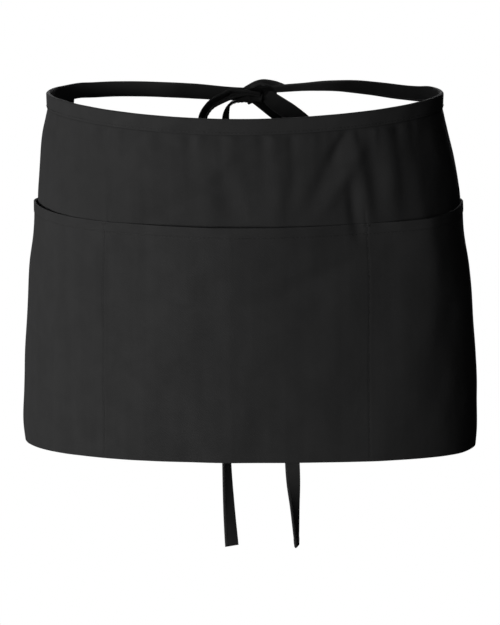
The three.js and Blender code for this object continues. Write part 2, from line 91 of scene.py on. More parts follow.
class ApronLook(bpy.types.PropertyGroup):
    cloth: colour("Cloth", "Black twill of the panel and the pockets", (0.0238, 0.0238, 0.0239))
    strap: colour("Strap", "Black twill of the waistband and the straps", (0.0255, 0.0255, 0.0256))
    thread: colour("Thread", "Black sewing thread", (0.015, 0.015, 0.015))
    # Pale tone of rubbed edges and slubs, also mixed in as painted light where the edge attribute is above 1.2
    lint_and_painted_light: colour("Worn edge", "Where the twill is rubbed paler", (0.07, 0.07, 0.07))
    twill: length("Twill", "Distance between the twill's diagonal ribs", 0.00115)


class ApronStudio(bpy.types.PropertyGroup):
    distance: length("Camera distance", "From the camera to the middle of the apron", 4.5)
    height: length("Aim height", "Height that the camera aims at", -0.1843)
    elevation: bpy.props.FloatProperty(
        name="Elevation", description="How far the camera looks down", default=math.radians(9),
        unit="ROTATION", subtype="ANGLE",
    )
    framed: length("Framed height", "Height of the picture at the apron", 0.51875)
    key_power: power("Key light", "Power of the soft box in front", 134)
    side_power: power("Side light", "Power of the soft box at the left", 78)
    back_power: power("Back light", "Power of the soft box behind", 110)
    floor_drop: length("Floor", "How far the floor is below the origin", 1.02)


# The worn shape that the cloth takes, and where the cloth lies on it

WAIST_HALF_WIDTH, WAIST_HALF_DEPTH = 0.1624, 0.119
HEM_HALF_WIDTH, HEM_HALF_DEPTH = 0.187, 0.125

# How far to the right the waist's middle and the panel's middle are
WAIST_SHIFT, WORN_SHIFT = -0.0041, -0.013

# How far the waist dips in front, the hem drops at the right, the mouth rises at the sides, the corners drop, the
# right side tilts up, and the cloth puffs out under the waistband
WAIST_DIP, HEM_DROP, MOUTH_RISE = 0.0087, 0.0045, 0.005
CORNER_DROP, SIDE_TILT, PUFF = 0.0028, 0.0009, 0.0006

# The hips: shares of the panel's length, and there the shares of the way from the waist's to the hem's width and
# depth, and of the waist's shift
HIPS = dict(
    drop=[0, 0.05, 0.115, 0.2, 0.29, 0.42, 0.5, 0.59, 0.68, 0.85, 0.955, 1],
    wider=[0, 0, 0.15, 0.327, 0.431, 0.53, 0.7, 0.8, 0.875, 0.975, 0.985, 0.93],
    deeper=[0, 0, 0.2, 0.4, 0.6, 0.8, 0.9, 0.96, 1, 1, 1, 1],
    shift=[1, 1, 0.98, 0.5, 0.3, 0.06, 0.05, -0.05, -0.09, -0.11, -0.11, -0.11],
)

# Folds from one place to another: shares of the panel's width and length, and of the fold height
FOLDS = np.array([
    # from across, from drop, to across, to drop, width, rise
    (0.19, 0.06, 0.196, 0.13, 0.012, 0.4),
    (0.196, 0.12, 0.135, 0.28, 0.015, 0.6),
    (0.196, 0.13, 0.205, 0.33, 0.012, 0.45),
    (0.178, 0.05, 0.156, 0.14, 0.01, -0.6),
    (0.163, 0.11, 0.116, 0.27, 0.016, -0.7),
    (0.181, 0.22, 0.184, 0.36, 0.01, -0.7),
    (0.222, 0.12, 0.22, 0.31, 0.015, -0.35),
    (0.25, 0.08, 0.248, 0.3, 0.018, 0.5),
    (0.078, 0.08, 0.06, 0.32, 0.022, 0.5),
    (0.006, 0.17, 0.002, 0.31, 0.024, -0.5),
    (-0.04, 0.2, -0.124, 0.32, 0.028, -0.4),
    (0.164, 0.43, 0.052, 0.54, 0.034, -0.5),
    (0.295, 0.1, 0.305, 0.6, 0.022, 0.4),
    (-0.26, 0.38, -0.2, 0.75, 0.04, 0.4),
    (0.22, 0.62, 0.17, 0.9, 0.035, -0.4),
    (-0.012, 0.16, -0.006, 0.315, 0.013, -0.5),
    (0.012, 0.14, 0.022, 0.3, 0.014, 0.35),
    (0.095, 0.15, 0.078, 0.32, 0.012, -0.4),
    (0.03, 0.06, -0.05, 0.22, 0.016, 0.3),
    (-0.2, 0.16, -0.19, 0.36, 0.014, 0.35),
])
FOLD_RUN_OUT = 0.25  # how far a fold fades out past both of its ends, as a share of its length

# Gathers just under the waistband: place across, height and reach down
GATHERS = np.array([
    (-0.27, 0.2, 0.04), (-0.2, -0.3, 0.05), (-0.16, -0.25, 0.04), (-0.12, 0.3, 0.04), (-0.06, -0.45, 0.07),
    (-0.045, 0.4, 0.04), (-0.012, -0.35, 0.06), (0.006, 0.4, 0.04), (0.05, -0.4, 0.06), (0.066, 0.5, 0.08),
    (0.094, -0.55, 0.08), (0.112, 0.4, 0.03), (0.128, 0.5, 0.05), (0.146, 0.5, 0.02), (0.166, 0.55, 0.02),
    (0.182, -0.3, 0.03), (0.198, -0.45, 0.05), (0.226, 0.5, 0.06), (0.244, 0.45, 0.03), (0.268, -0.42, 0.05),
    (0.3, -0.36, 0.04),
])
GATHER_WIDTH = 0.0085

# Place and height of the pressed middle crease, and places of the stitched pocket lines
CREASE, CREASE_RISE = -0.0035, 0.0007
POCKET_LINES = (-0.1965, 0.199)

# The straps from the ends of the waistband to the knot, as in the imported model: shares of the way, of the knot's
# sag and of the width, and the lean in degrees
STRAP_LEFT = dict(
    along=[0, 0.04, 0.14, 0.3, 0.42, 0.56, 0.7, 0.84, 1],
    sag=[0, 0, 0.1, 0.2, 0.32, 0.5, 0.7, 0.93, 1],
    lean=[0, 3, 2, 3, 3, 3, 3, 2, 0],
    width=[1, 1, 1, 1, 1, 1, 1, 0.9, 0.76],
)
STRAP_RIGHT = dict(
    along=[0, 0.04, 0.14, 0.28, 0.45, 0.6, 0.75, 0.88, 1],
    sag=[0, 0.02, 0.19, 0.26, 0.18, 0.11, 0.2, 0.42, 0.62],
    lean=[0, 3, 8, 12, 18, 32, 50, 55, 55],
    width=[1, 1, 1, 1, 1, 1, 0.94, 0.84, 0.76],
)

# The knot's middle from the waist's middle, from the straps' line down and outwards, and its depth
KNOT_SHIFT, KNOT_SAG, KNOT_STANDOFF, KNOT_DEPTH = 0.0105, 0.01, 0.006, 0.019

# What the tables of the loops and tails are shares of
LOOP_LENGTH, TAIL_LENGTH, TAIL_SPREAD = 0.11, 0.395, 0.06

# Air between two layers, radius of the fold along the lower hem, thickness that the turned side hems add, and how
# far the stitches are inside the edges of a strap, of the mouth's hem and of the side hems
AIR, HEM_BEND, HEM_THICK = 0.0003, 0.00115, 0.0006
STRAP_SEAM, MOUTH_SEAM, SIDE_SEAM = 0.0018, 0.0002, 0.0015

# Depth and half width of the furrow that a row of stitches draws into the cloth
FURROW, FURROW_WIDTH = 0.00018, 0.0008

# Air between a folded strap's leaves, and how far the thread is raised off a strap
LEAF_AIR, THREAD_LIFT = 0.00003, 0.00002

# The cloth's slack: waves in radians per metre across and down, their phase and their height
SLACK = (
    (92, 31, 0.4, 0.00024), (63, -47, 1.9, 0.00022), (141, 66, 3.1, 0.00012), (118, -103, 0.7, 0.00012),
    (213, 40, 2.2, 0.00006), (187, 152, 5.1, 0.00006), (34, 88, 4.0, 0.0002), (302, -61, 1.1, 0.00003),
)


def cut():
    """The apron's sizes."""
    return bpy.context.scene.apron_cut


def look():
    """The cloth's and the thread's colours."""
    return bpy.context.scene.apron_look


# Lines and surfaces

def through(places, values, at):
    """Values at the given places of a table. Between two rows it is a cubic whose slope at each row is the
    mean of the two neighbouring chords' slopes, each weighted by the other's length."""
    places = np.asarray(places, float)
    values = np.asarray(values, float).reshape(len(places), -1)
    step = np.diff(places)[:, None]
    chord = np.diff(values, axis=0) / step
    inner = (step[1:] * chord[:-1] + step[:-1] * chord[1:]) / (step[1:] + step[:-1])
    slope = np.vstack([chord[:1], inner, chord[-1:]])
    at = np.asarray(at, float)
    row = np.clip(np.searchsorted(places, at, side="right") - 1, 0, len(places) - 2)
    size = step[row, 0][..., None]
    t = np.clip((at[..., None] - places[row][..., None]) / size, 0, 1)
    start, end = values[row], values[row + 1]
    bend = (2 * t**3 - 3 * t**2 + 1) * start + (3 * t**2 - 2 * t**3) * end
    bend = bend + (t**3 - 2 * t**2 + t) * size * slope[row] + (t**3 - t**2) * size * slope[row + 1]
    return bend[..., 0] if values.shape[1] == 1 else bend


def blend(low, high, x):
    """0 below low and 1 above high, and between them 3t^2 - 2t^3."""
    t = np.clip((np.asarray(x, float) - low) / (high - low), 0, 1)
    return t * t * (3 - 2 * t)


def bell(distance, width):
    """exp(-(distance / width)^2), which is 1 at no distance."""
    return np.exp(-((distance / width) ** 2))


def unit(v):
    return v / np.maximum(np.linalg.norm(v, axis=-1, keepdims=True), 1e-12)


def squared(wide, tangents):
    """The directions with what lies along the tangents taken off, as unit vectors."""
    return unit(wide - (wide * tangents).sum(-1, keepdims=True) * tangents)


def run_along(points):
    """Length of the line from its start to each point."""
    return np.concatenate([[0], np.cumsum(np.linalg.norm(np.diff(points, axis=0), axis=1))])


def mouth_drop():
    """How far the pockets' mouth is below the waistband's top edge."""
    return cut().panel_length - cut().pocket_depth


def hips(share):
    """Half width, half depth and shift of the level ellipse at a share of the panel's length."""
    share = np.clip(share, 0, 1)
    wider = through(HIPS["drop"], HIPS["wider"], share)
    deeper = through(HIPS["drop"], HIPS["deeper"], share)
    return (
        WAIST_HALF_WIDTH + (HEM_HALF_WIDTH - WAIST_HALF_WIDTH) * wider,
        WAIST_HALF_DEPTH + (HEM_HALF_DEPTH - WAIST_HALF_DEPTH) * deeper,
        WAIST_SHIFT * through(HIPS["drop"], HIPS["shift"], share),
    )


def angle_at(arc, a, b):
    """The angle whose arc on the ellipse (a sin, -b cos) has the given length from the front: Newton's rule,
    with the arc's length taken as the mean speed at twelve Gauss points times the angle."""
    spot, weight = np.polynomial.legendre.leggauss(12)
    spot, weight = (spot + 1) / 2, weight / 2
    angle = arc / ((a + b) / 2)
    for _ in range(6):
        t = angle[..., None] * spot
        speed = np.hypot(a[..., None] * np.cos(t), b[..., None] * np.sin(t))
        run = angle * (speed * weight).sum(-1)
        angle = angle - (run - arc) / np.hypot(a * np.cos(angle), b * np.sin(angle))
    return angle


def fold_height(across, share):
    """Height of the folds and gathers: each fold is exp(-(distance from its line / width)^2) times a half
    wave along it, each gather the same across and exp(-drop / reach) down, the pressed middle crease is
    exp(-distance / 11 mm), and the cloth puffs out just below the waistband."""
    c = cut()
    band = c.strap_width / c.panel_length
    along = (share[..., None] - FOLDS[:, 1]) / (FOLDS[:, 3] - FOLDS[:, 1])
    centre = FOLDS[:, 0] + (FOLDS[:, 2] - FOLDS[:, 0]) * along
    reach = 1 + 2 * FOLD_RUN_OUT
    fade = np.sin(np.pi * np.clip(along + FOLD_RUN_OUT, 0, reach) / reach)
    high = (FOLDS[:, 5] * fade * bell(across[..., None] - centre, FOLDS[:, 4])).sum(-1)
    down = np.exp(-np.maximum(0, share[..., None] - band) / GATHERS[:, 2])
    high = high + (GATHERS[:, 1] * down * bell(across[..., None] - GATHERS[:, 0], GATHER_WIDTH)).sum(-1)
    pressed = CREASE_RISE * np.exp(-np.abs(across - CREASE) * c.panel_width / 0.011)
    puffed = PUFF * blend(band - 0.004, band + 0.025, share) * (1 - blend(band + 0.04, 0.22, share))
    return (c.fold_rise * high + pressed) * blend(band, band + 0.016, share) + puffed


def slack(across, drop):
    """The cloth's small unevenness: a sum of slanting waves, 20 to 90 mm long and under 0.3 mm high."""
    s, d = across * cut().panel_width, drop
    return sum(size * np.sin(ks * s + kd * d + phase) for ks, kd, phase, size in SLACK)


def cloth_point(across, drop, out, ripple=1.0):
    """A point of the apron: the ellipse at that drop, at the arc length that the width gives, moved out along
    the ellipse's normal by out and the folds, and lowered in front, at one side and at the mouth."""
    c = cut()
    across, drop, out = np.broadcast_arrays(*(np.asarray(x, float) for x in (across, drop, out)))
    share = np.clip(drop / c.panel_length, 0, 1)
    a, b, shift = hips(share)
    width = c.panel_width - c.band_gather * (1 - blend(0.05, 0.5, share))
    angle = angle_at(WORN_SHIFT + across * width, a, b)
    mouth = mouth_drop()
    sine, cosine = np.sin(angle), np.cos(angle)
    z = -drop - WAIST_DIP * np.maximum(0, cosine) ** 2 * np.maximum(0, 1 - drop / mouth)
    z = z - blend(0.5, 1, share) * (HEM_DROP * np.maximum(0, sine) ** 2 + CORNER_DROP * sine**2)
    z = z + SIDE_TILT * blend(-0.1, 0.5, sine) * np.maximum(0, cosine) ** 0.5 * np.maximum(0, 1 - drop / mouth)
    z = z + MOUTH_RISE * np.maximum(0, 1 - np.abs(drop - mouth) / mouth) * sine**8
    band = c.strap_width / c.panel_length
    uneven = ripple * slack(across, drop) * blend(band * 0.8, band + 0.08, share)
    out = out + fold_height(across, share) + uneven
    normal = unit(np.stack([b * sine, -a * cosine], -1))
    return np.stack([shift + a * sine + out * normal[..., 0], -b * cosine + out * normal[..., 1], z], -1)


def pocket_gap(across, drop):
    """How far the pocket panel stands off: a power of a half wave across each pocket, skewed to its peak, times
    (1 - share of the way down)^1.3."""
    c = cut()
    seam = c.middle_pocket / c.panel_width / 2
    down = np.clip((drop - mouth_drop()) / c.pocket_depth, 0, 1)
    gap = np.zeros(np.broadcast(across, drop).shape)
    for low, high, gape, peak, power in (
        (-0.5, -seam, c.gape_left, 0.5, 3), (-seam, seam, c.gape_middle, 0.5, 2), (seam, 0.5, c.gape_right, 0.35, 3),
    ):
        place = np.clip((across - low) / (high - low), 0, 1) ** (math.log(0.5) / math.log(peak))
        inside = (across >= low) & (across < high)
        gap = np.where(inside, gape * np.abs(np.sin(np.pi * place)) ** power * (1 - down) ** 1.3, gap)
    return gap


# Meshes

def facing_out(points, faces):
    """The quads, turned round if the volume that they close is negative: the sum of their first corners dotted
    with the cross products that span their two triangles."""
    p = points[faces]
    spans = np.cross(p[:, 1], p[:, 2]) + np.cross(p[:, 2], p[:, 3])
    return faces if np.einsum("ij,ij->i", p[:, 0], spans).sum() >= 0 else faces[:, ::-1]


def mesh_object(name, points, faces, **fields):
    """A mesh of the points and quads, facing outwards, smooth shaded, with one attribute for each field, which
    has one value or vector for each point."""
    mesh = bpy.data.meshes.new(name)
    faces = np.asarray(facing_out(points, faces), dtype=np.int32)
    mesh.vertices.add(len(points))
    mesh.vertices.foreach_set("co", points.astype(np.float32).ravel())
    mesh.loops.add(faces.size)
    mesh.loops.foreach_set("vertex_index", faces.ravel())
    mesh.polygons.add(len(faces))
    mesh.polygons.foreach_set("loop_start", np.arange(0, faces.size, 4, dtype=np.int32))
    mesh.update(calc_edges=True)
    mesh.validate()
    mesh.polygons.foreach_set("use_smooth", np.ones(len(mesh.polygons), dtype=bool))
    for field, values in fields.items():
        kind, key = ("FLOAT_VECTOR", "vector") if values.ndim == 2 else ("FLOAT", "value")
        mesh.attributes.new(field, kind, "POINT").data.foreach_set(key, values.astype(np.float32).ravel())
    piece = bpy.data.objects.new(name, mesh)
    bpy.context.scene.collection.objects.link(piece)
    return piece


def grid_faces(rows, count, steps=None):
    """Quads between closed rings of count points, for the given steps from one ring to the next, or all round."""
    i, j = np.meshgrid(np.arange(steps or rows), np.arange(count), indexing="ij")
    n, k = (i + 1) % rows, (j + 1) % count
    return np.stack([i * count + j, i * count + k, n * count + k, n * count + j], -1).reshape(-1, 4)


def ring_faces(sections, count):
    """Quads of closed rings of count points, each ring joined to the next, and both ends closed by strips from
    each point to the one across the wall."""
    m = np.arange(count // 2 - 1)
    start = np.stack([m, count - 1 - m, count - 2 - m, m + 1], -1)
    end = (start + (sections - 1) * count)[:, ::-1]
    return np.vstack([grid_faces(sections, count, sections - 1), start, end])


def there_and_back(there, back):
    """Columns of one array and then those of the other in reverse, for the two faces of a wall."""
    return np.concatenate([there, back[:, ::-1]], 1)


def wall_object(name, rings, **fields):
    """A closed wall from rings, an array of sections by points by three."""
    sections, count = rings.shape[:2]
    return mesh_object(
        name, rings.reshape(-1, 3), ring_faces(sections, count),
        **{k: v.reshape(-1, 3) if v.ndim == 3 else v.reshape(-1) for k, v in fields.items()},
    )


def tape_profile(width_points, edge_points, notch):
    """A flat strap's section, two faces and two round edges, as three lists: side, from -1 to 1 across the faces,
    bulge, how far the round edges reach past them, and out, which is 1 on one face and -1 on the other. A small
    notch in one edge is where the folded sides meet."""
    face, turn = np.linspace(-1, 1, width_points), np.linspace(0, np.pi, edge_points + 2)[1:-1]
    none, round_edge = 0 * face, np.sin(turn)
    side = np.concatenate([face, turn**0, -face, -(turn**0)])
    bulge = np.concatenate([none, round_edge - notch * round_edge**8, none, -round_edge])
    out = np.concatenate([none + 1, np.cos(turn), none - 1, -np.cos(turn)])
    return side, bulge, out


def along_line(stations, places, count):
    """Places, points and unit tangents at count even places of a smooth line through the stations."""
    at = np.linspace(0, places[-1], count)
    step = 1e-4
    ahead = through(places, stations, np.minimum(at + step, places[-1]))
    behind = through(places, stations, np.maximum(at - step, 0))
    return at, through(places, stations, at), unit(ahead - behind)


def chord_places(stations):
    """Places of the stations along the line: the sum of the square roots of the chords, from 0 to 1."""
    run = np.concatenate([[0], np.cumsum(np.sqrt(np.linalg.norm(np.diff(stations, axis=0), axis=1)))])
    return run / run[-1]


def strap_rings(points, tangents, wide, half_width, half_thick, cup, profile):
    """Rings of a flat strap carried along a line. The section lies in the plane of wide and the normal, its faces
    arched by cup times (1 - side^2), and its round edges reach half a thickness past the width."""
    side, bulge, out = profile
    wide = squared(wide, tangents)
    thin = np.cross(tangents, wide)
    flat = half_width[:, None] - half_thick[:, None]
    across = flat * side + half_thick[:, None] * bulge
    height = half_thick[:, None] * out + cup[:, None] * (1 - side**2)
    return points[:, None] + across[..., None] * wide[:, None] + height[..., None] * thin[:, None]


# Stitches and seams

def stitch_rows(starts, ends, ups, width, raise_by):
    """Points of one thread hump for each stitch, a six-sided spindle from start to end lifted off the cloth:
    radius width / 2 * (0.32 + 0.68 * sqrt(sin(pi t))) and height raise_by * sin(pi t)."""
    t = np.linspace(0, 1, 5)
    swell = 0.32 + 0.68 * np.sin(np.pi * t) ** 0.5
    turn = np.arange(6) * np.pi / 3
    along = ends - starts
    side = unit(np.cross(along, ups))
    lift = ups[:, None] * (raise_by * np.sin(np.pi * t))[None, :, None]
    line = starts[:, None] + along[:, None] * t[None, :, None] + lift
    ring = np.cos(turn)[:, None] * side[:, None, None] + np.sin(turn)[:, None] * 0.8 * ups[:, None, None]
    return line[:, :, None] + ring * (width / 2 * swell)[None, :, None, None]


def stitched(name, lines):
    """One mesh of all the stitches. Each line is (points, outward directions) along a seam, cut into stitches of
    the stitch length, of which the thread covers four fifths."""
    c = cut()
    parts = []
    for points, ups in lines:
        run = run_along(points)
        count = max(1, int(run[-1] / c.stitch))
        start = np.arange(count) * run[-1] / count
        end = start + 0.8 * run[-1] / count
        starts, ends, outward = (
            np.stack([np.interp(at, run, values[:, k]) for k in range(3)], -1)
            for at, values in ((start, points), (end, points), (start, ups))
        )
        parts.append(stitch_rows(starts, ends, unit(outward), c.thread, c.thread * 0.35))
    rings = np.concatenate(parts)
    number, sections, sides = rings.shape[:3]
    first = np.arange(number)[:, None, None] * sections * sides
    faces = (ring_faces(sections, sides) + first).reshape(-1, 4)
    return mesh_object(name, rings.reshape(-1, 3), faces, place=rings.reshape(-1, 3))


def seam_lines(points, wide, thin, width, half_thick, sway, kept):
    """The row of stitches near a strap's lower edge on both of its faces, as lines for stitched."""
    points = points - (width / 2 - STRAP_SEAM)[:, None] * wide
    rises = [face * (half_thick + THREAD_LIFT) + sway for face in (1, -1)]
    return [((points + rise[:, None] * thin)[kept], face * thin[kept]) for rise, face in zip(rises, (1, -1))]


def surface_line(across, drop, out, count=400):
    """Points on the apron between two ends across and two drops, and its outward directions. Out is a distance
    or a function of both."""
    s, d = np.linspace(*across, count), np.linspace(*drop, count)
    out = out(s, d) if callable(out) else out
    low, high = cloth_point(s, d, out), cloth_point(s, d, out + 0.002)
    return low, unit(high - low)


# Materials

def node_tree(name):
    material = bpy.data.materials.new(name)
    material.use_nodes = True
    tree = material.node_tree
    return material, tree, tree.nodes["Principled BSDF"]


class Wiring:
    """Short ways to add nodes to one material."""

    def __init__(self, tree):
        self.tree = tree

    def add(self, kind, inputs=(), **settings):
        node = self.tree.nodes.new(kind)
        for key, value in settings.items():
            setattr(node, key, value)
        for socket, value in dict(inputs).items():
            if isinstance(value, bpy.types.NodeSocket):
                self.tree.links.new(value, node.inputs[socket])
            else:
                node.inputs[socket].default_value = value
        return node

    def attribute(self, name, output):
        return self.add("ShaderNodeAttribute", attribute_name=name, attribute_type="GEOMETRY").outputs[output]

    def noise(self, vector, scale, detail, **more):
        inputs = {"Vector": vector, "Scale": scale, "Detail": detail, **more}
        return self.add("ShaderNodeTexNoise", inputs).outputs["Fac"]

    def maths(self, operation, *values):
        return self.add("ShaderNodeMath", dict(enumerate(values)), operation=operation).outputs[0]

    def total(self, *terms):
        """Sum of values, each times its share."""
        found = None
        for value, share in terms:
            part = self.maths("MULTIPLY", value, share)
            found = part if found is None else self.maths("ADD", found, part)
        return found

    def ramp(self, factor, low, high, start=0.0, end=1.0):
        """Factor taken from low..high to start..end, clamped."""
        return self.add(
            "ShaderNodeMapRange", {0: factor, 1: low, 2: high, 3: start, 4: end}, interpolation_type="SMOOTHSTEP"
        ).outputs[0]

    def mix(self, factor, a, b):
        return self.add("ShaderNodeMix", {0: factor, 6: a, 7: b}, data_type="RGBA").outputs[2]


def twill_material(name, base, pitch_scale, wear_amount):
    """Black twill. The weave attribute holds metres along and across the cloth, so the ribs follow it. The ribs
    are sin(2 pi (along + 0.55 across) / pitch), crossed by finer yarns, and their height drives the bump. Noise at
    4 mm and 60 mm shifts the tone. The edge attribute with noise pales the rubbed edges. Above 1 it paints light
    that pales the cloth, and below 0 it paints shade that darkens it, as deep in the knot."""
    colours = look()
    material, tree, shader = node_tree(name)
    w = Wiring(tree)
    weave, edge = w.attribute("weave", "Vector"), w.attribute("edge", "Fac")
    along, across, _ = w.add("ShaderNodeSeparateXYZ", {0: weave}).outputs
    pitch = colours.twill * pitch_scale
    slant = w.total((along, 1), (across, 0.55), (w.noise(weave, 240.0, 2.0), pitch * 0.35))
    rib = w.maths("SINE", w.maths("MULTIPLY", slant, 2 * math.pi / pitch))
    yarn = w.maths("SINE", w.maths("MULTIPLY", across, 2 * math.pi / (pitch * 0.5)))
    slub = w.noise(weave, 900.0, 3.0, Roughness=0.6)
    height = w.total((rib, 0.5), (yarn, 0.22), (slub, 0.7))
    broad, crease = w.noise(weave, 16.0, 3.0), w.noise(weave, 55.0, 4.0, Distortion=0.6)
    streaks = w.add("ShaderNodeMapping", {"Vector": weave, "Scale": (90.0, 5.0, 1.0)}).outputs[0]
    streak = w.noise(streaks, 1.0, 2.0)
    dark, pale, ribbed = [tuple(x * k for x in base) + (1,) for k in (0.9, 1.1, 1.35)]
    lint_and_painted_light = tuple(colours.lint_and_painted_light) + (1,)
    tone = w.mix(w.ramp(w.total((broad, 0.5), (streak, 0.5)), 0.35, 0.65), dark, pale)
    tone = w.mix(w.ramp(rib, -1.0, 1.0, 0.0, 0.45), tone, ribbed)
    tone = w.mix(w.ramp(slub, 0.62, 0.8, 0.0, 0.35), tone, lint_and_painted_light)
    wear_and_painted_shading = w.ramp(edge, 0.2, 1.0, 0.0, 0.12 * wear_amount)
    tone = w.mix(w.maths("MULTIPLY", wear_and_painted_shading, w.ramp(slub, 0.38, 0.62, 0.35, 1.0)), tone, lint_and_painted_light)
    # Painted light where the edge attribute is above 1.2, and painted shade towards black where it is below 0
    tone = w.mix(w.ramp(edge, 1.2, 2.2, 0.0, 0.9), tone, lint_and_painted_light)
    tone = w.mix(w.ramp(edge, -1.6, -0.1, 0.97, 0.0), tone, (0.001, 0.001, 0.001, 1))
    tree.links.new(tone, shader.inputs["Base Color"])
    tree.links.new(w.ramp(crease, 0.3, 0.7, 0.86, 0.97), shader.inputs["Roughness"])
    fine = w.add("ShaderNodeBump", {"Strength": 0.42, "Distance": pitch * 0.22, "Height": height})
    soft = w.add("ShaderNodeBump", {"Strength": 0.3, "Distance": 0.0011, "Height": crease, "Normal": fine.outputs[0]})
    tree.links.new(soft.outputs[0], shader.inputs["Normal"])
    for socket, value in (
        ("Specular IOR Level", 0.22), ("Sheen Weight", 0.035), ("Sheen Roughness", 0.45),
        ("Sheen Tint", (0.7, 0.7, 0.74, 1)),
    ):
        shader.inputs[socket].default_value = value
    return material


def thread_material():
    """Black thread with two twisted plies: sin of the place along a slanting direction, as bump and tone."""
    colours = look()
    material, tree, shader = node_tree("sewing_thread")
    w = Wiring(tree)
    place = w.attribute("place", "Vector")
    ply = w.add(
        "ShaderNodeTexWave", {"Vector": place, "Scale": 520.0, "Distortion": 1.2, "Detail": 1.0},
        bands_direction="DIAGONAL",
    ).outputs["Fac"]
    shade = w.noise(place, 90.0, 2.0)
    tone = w.mix(w.ramp(shade, 0.3, 0.7), *(tuple(x * k for x in colours.thread) + (1,) for k in (0.7, 1.25)))
    tone = w.mix(w.ramp(ply, 0.0, 1.0, 0.0, 0.12), tone, tuple(colours.lint_and_painted_light) + (1,))
    tree.links.new(tone, shader.inputs["Base Color"])
    tree.links.new(w.ramp(shade, 0.2, 0.8, 0.5, 0.66), shader.inputs["Roughness"])
    bump = w.add("ShaderNodeBump", {"Strength": 0.5, "Distance": 0.00008, "Height": ply})
    tree.links.new(bump.outputs[0], shader.inputs["Normal"])
    shader.inputs["Specular IOR Level"].default_value = 0.4
    return material


def material_named(name):
    """The named finish, made the first time that it is asked for."""
    found = bpy.data.materials.get(name)
    if found:
        return found
    colours = look()
    if name == "sewing_thread":
        return thread_material()
    base, tint, pitch_scale, wear_amount = {
        "panel_twill": (colours.cloth, 1, 1, 1),
        "pocket_twill": (colours.cloth, 1.03, 1, 1),
        "strap_twill": (colours.strap, 1, 0.9, 0.8),
    }[name]
    return twill_material(name, tuple(x * tint for x in base), pitch_scale, wear_amount)


def finish_piece(piece, material, slot, *nodes):
    piece.data.materials.append(material_named(material))
    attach(piece, "root")
    if nodes:
        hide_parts(*nodes)
    return piece


# The panel and its pockets

def places_across():
    """Places across the panel: even steps, and closer rows of them beside the pocket lines and the side hems."""
    c = cut()
    left, right = POCKET_LINES
    near = np.array([-3.6, -2.4, -1.6, -1.0, -0.5, 0, 0.5, 1.0, 1.6, 2.4, 3.6]) / 1000 / c.panel_width
    hem = np.array([0, 0.25, 0.6, 1.2, 8.6, 9.2, 9.8, 10.4]) / 1000 / c.panel_width
    even = np.linspace(-0.5, 0.5, 271)
    special = np.concatenate([near + left, near + right, hem - 0.5, 0.5 - hem])
    even = even[np.abs(even[:, None] - special).min(1) > 0.0011]
    return np.sort(np.concatenate([even, special]))


def side_edge(across):
    """Metres from the nearer side edge."""
    return (0.5 - np.abs(across)) * cut().panel_width


def rounded(from_edge, radius, least):
    """Share of a wall's thickness: sqrt(1 - (1 - distance / radius)^2) near its edge, and 1 inside. Its square is
    never below least."""
    return np.sqrt(np.maximum(least, 1 - np.clip(1 - from_edge / radius, 0, 1) ** 2))


def rounded_side(across):
    """Share of the cloth's thickness near the panel's side edges."""
    return rounded(side_edge(across), 0.0006, 0.06)


def woven(across, drop):
    """Metres across and down the cloth, for the weave."""
    return np.stack(np.broadcast_arrays(across * cut().panel_width, drop, 0 * across), -1)


def body_cloth():
    """The panel's one layer: rows down the cloth at half a thickness outside and inside cloth_point, the inside
    thicker by the turned hem along both sides. A thin line of painted shade runs under the waistband."""
    c = cut()
    mouth = mouth_drop()
    turn = c.panel_length - HEM_BEND
    rows = np.concatenate([
        [c.cloth + AIR, 0.005, 0.009, 0.0122], np.arange(0.0136, mouth + 0.004, 0.002),
        np.arange(mouth + 0.006, turn - 0.002, 0.0043), [turn],
    ])
    s, d = places_across()[:, None], rows[None, :]
    half = c.cloth / 2 * rounded_side(s) * np.where(d >= turn, 0.9, 1.0)
    hem = HEM_THICK * blend(c.side_hem + 0.0004, c.side_hem - 0.0006, side_edge(s)) * blend(0.012, 0.016, d)
    dip = -0.00012 * bell(side_edge(s) - c.side_hem + SIDE_SEAM, FURROW_WIDTH) * blend(0.013, 0.016, d)
    line = np.minimum(np.abs(s - POCKET_LINES[0] - 0.006), np.abs(s - POCKET_LINES[1])) * c.panel_width
    dip = dip - 0.0004 * bell(line, 0.0014) * blend(mouth - 0.02, mouth - 0.004, d)
    face = cloth_point(s, d, half + dip)
    back = cloth_point(s, d, -half - hem * rounded_side(s))
    flat = woven(s, d)
    # Wear pales the side edges; the subtracted bell is painted shade, a dark line just under the waistband
    wear_and_painted_shading = np.exp(-side_edge(s) / 0.0015) - 0.75 * bell(d - c.strap_width - 0.0004, 0.0009)
    return wall_object(
        "body_panel_cloth", there_and_back(face, back), weave=there_and_back(flat, flat),
        edge=there_and_back(wear_and_painted_shading, wear_and_painted_shading),
    )


def pocket_out(across, drop):
    """How far out the pocket cloth's outer face lies: the body's half thickness and a little air, the gape, one
    thickness, the turned hem along the mouth, and a furrow along each row of stitches."""
    c = cut()
    down = drop - mouth_drop()
    out = 1.5 * c.cloth + AIR + pocket_gap(across, drop)
    pucker = 1 + 0.5 * np.sin(across * c.panel_width * 2 * np.pi / 0.0064) * np.sin(across * 137)
    out = out + 0.00045 * (1 - blend(c.mouth_hem - 0.0007, c.mouth_hem + 0.0009, down))
    out = out - 0.00032 * pucker * bell(down - c.mouth_hem + MOUTH_SEAM, 0.0007)
    line = np.minimum(np.abs(across - POCKET_LINES[0]), np.abs(across - POCKET_LINES[1])) * c.panel_width
    ease = 1 + 0.6 * np.sin(drop * 2 * np.pi / 0.0071)
    hem = side_edge(across) - c.side_hem + SIDE_SEAM
    out = out - FURROW * (bell(line, FURROW_WIDTH) + bell(hem, FURROW_WIDTH))
    return out + 0.00005 * ease * bell(line - 0.0022, 0.0011)


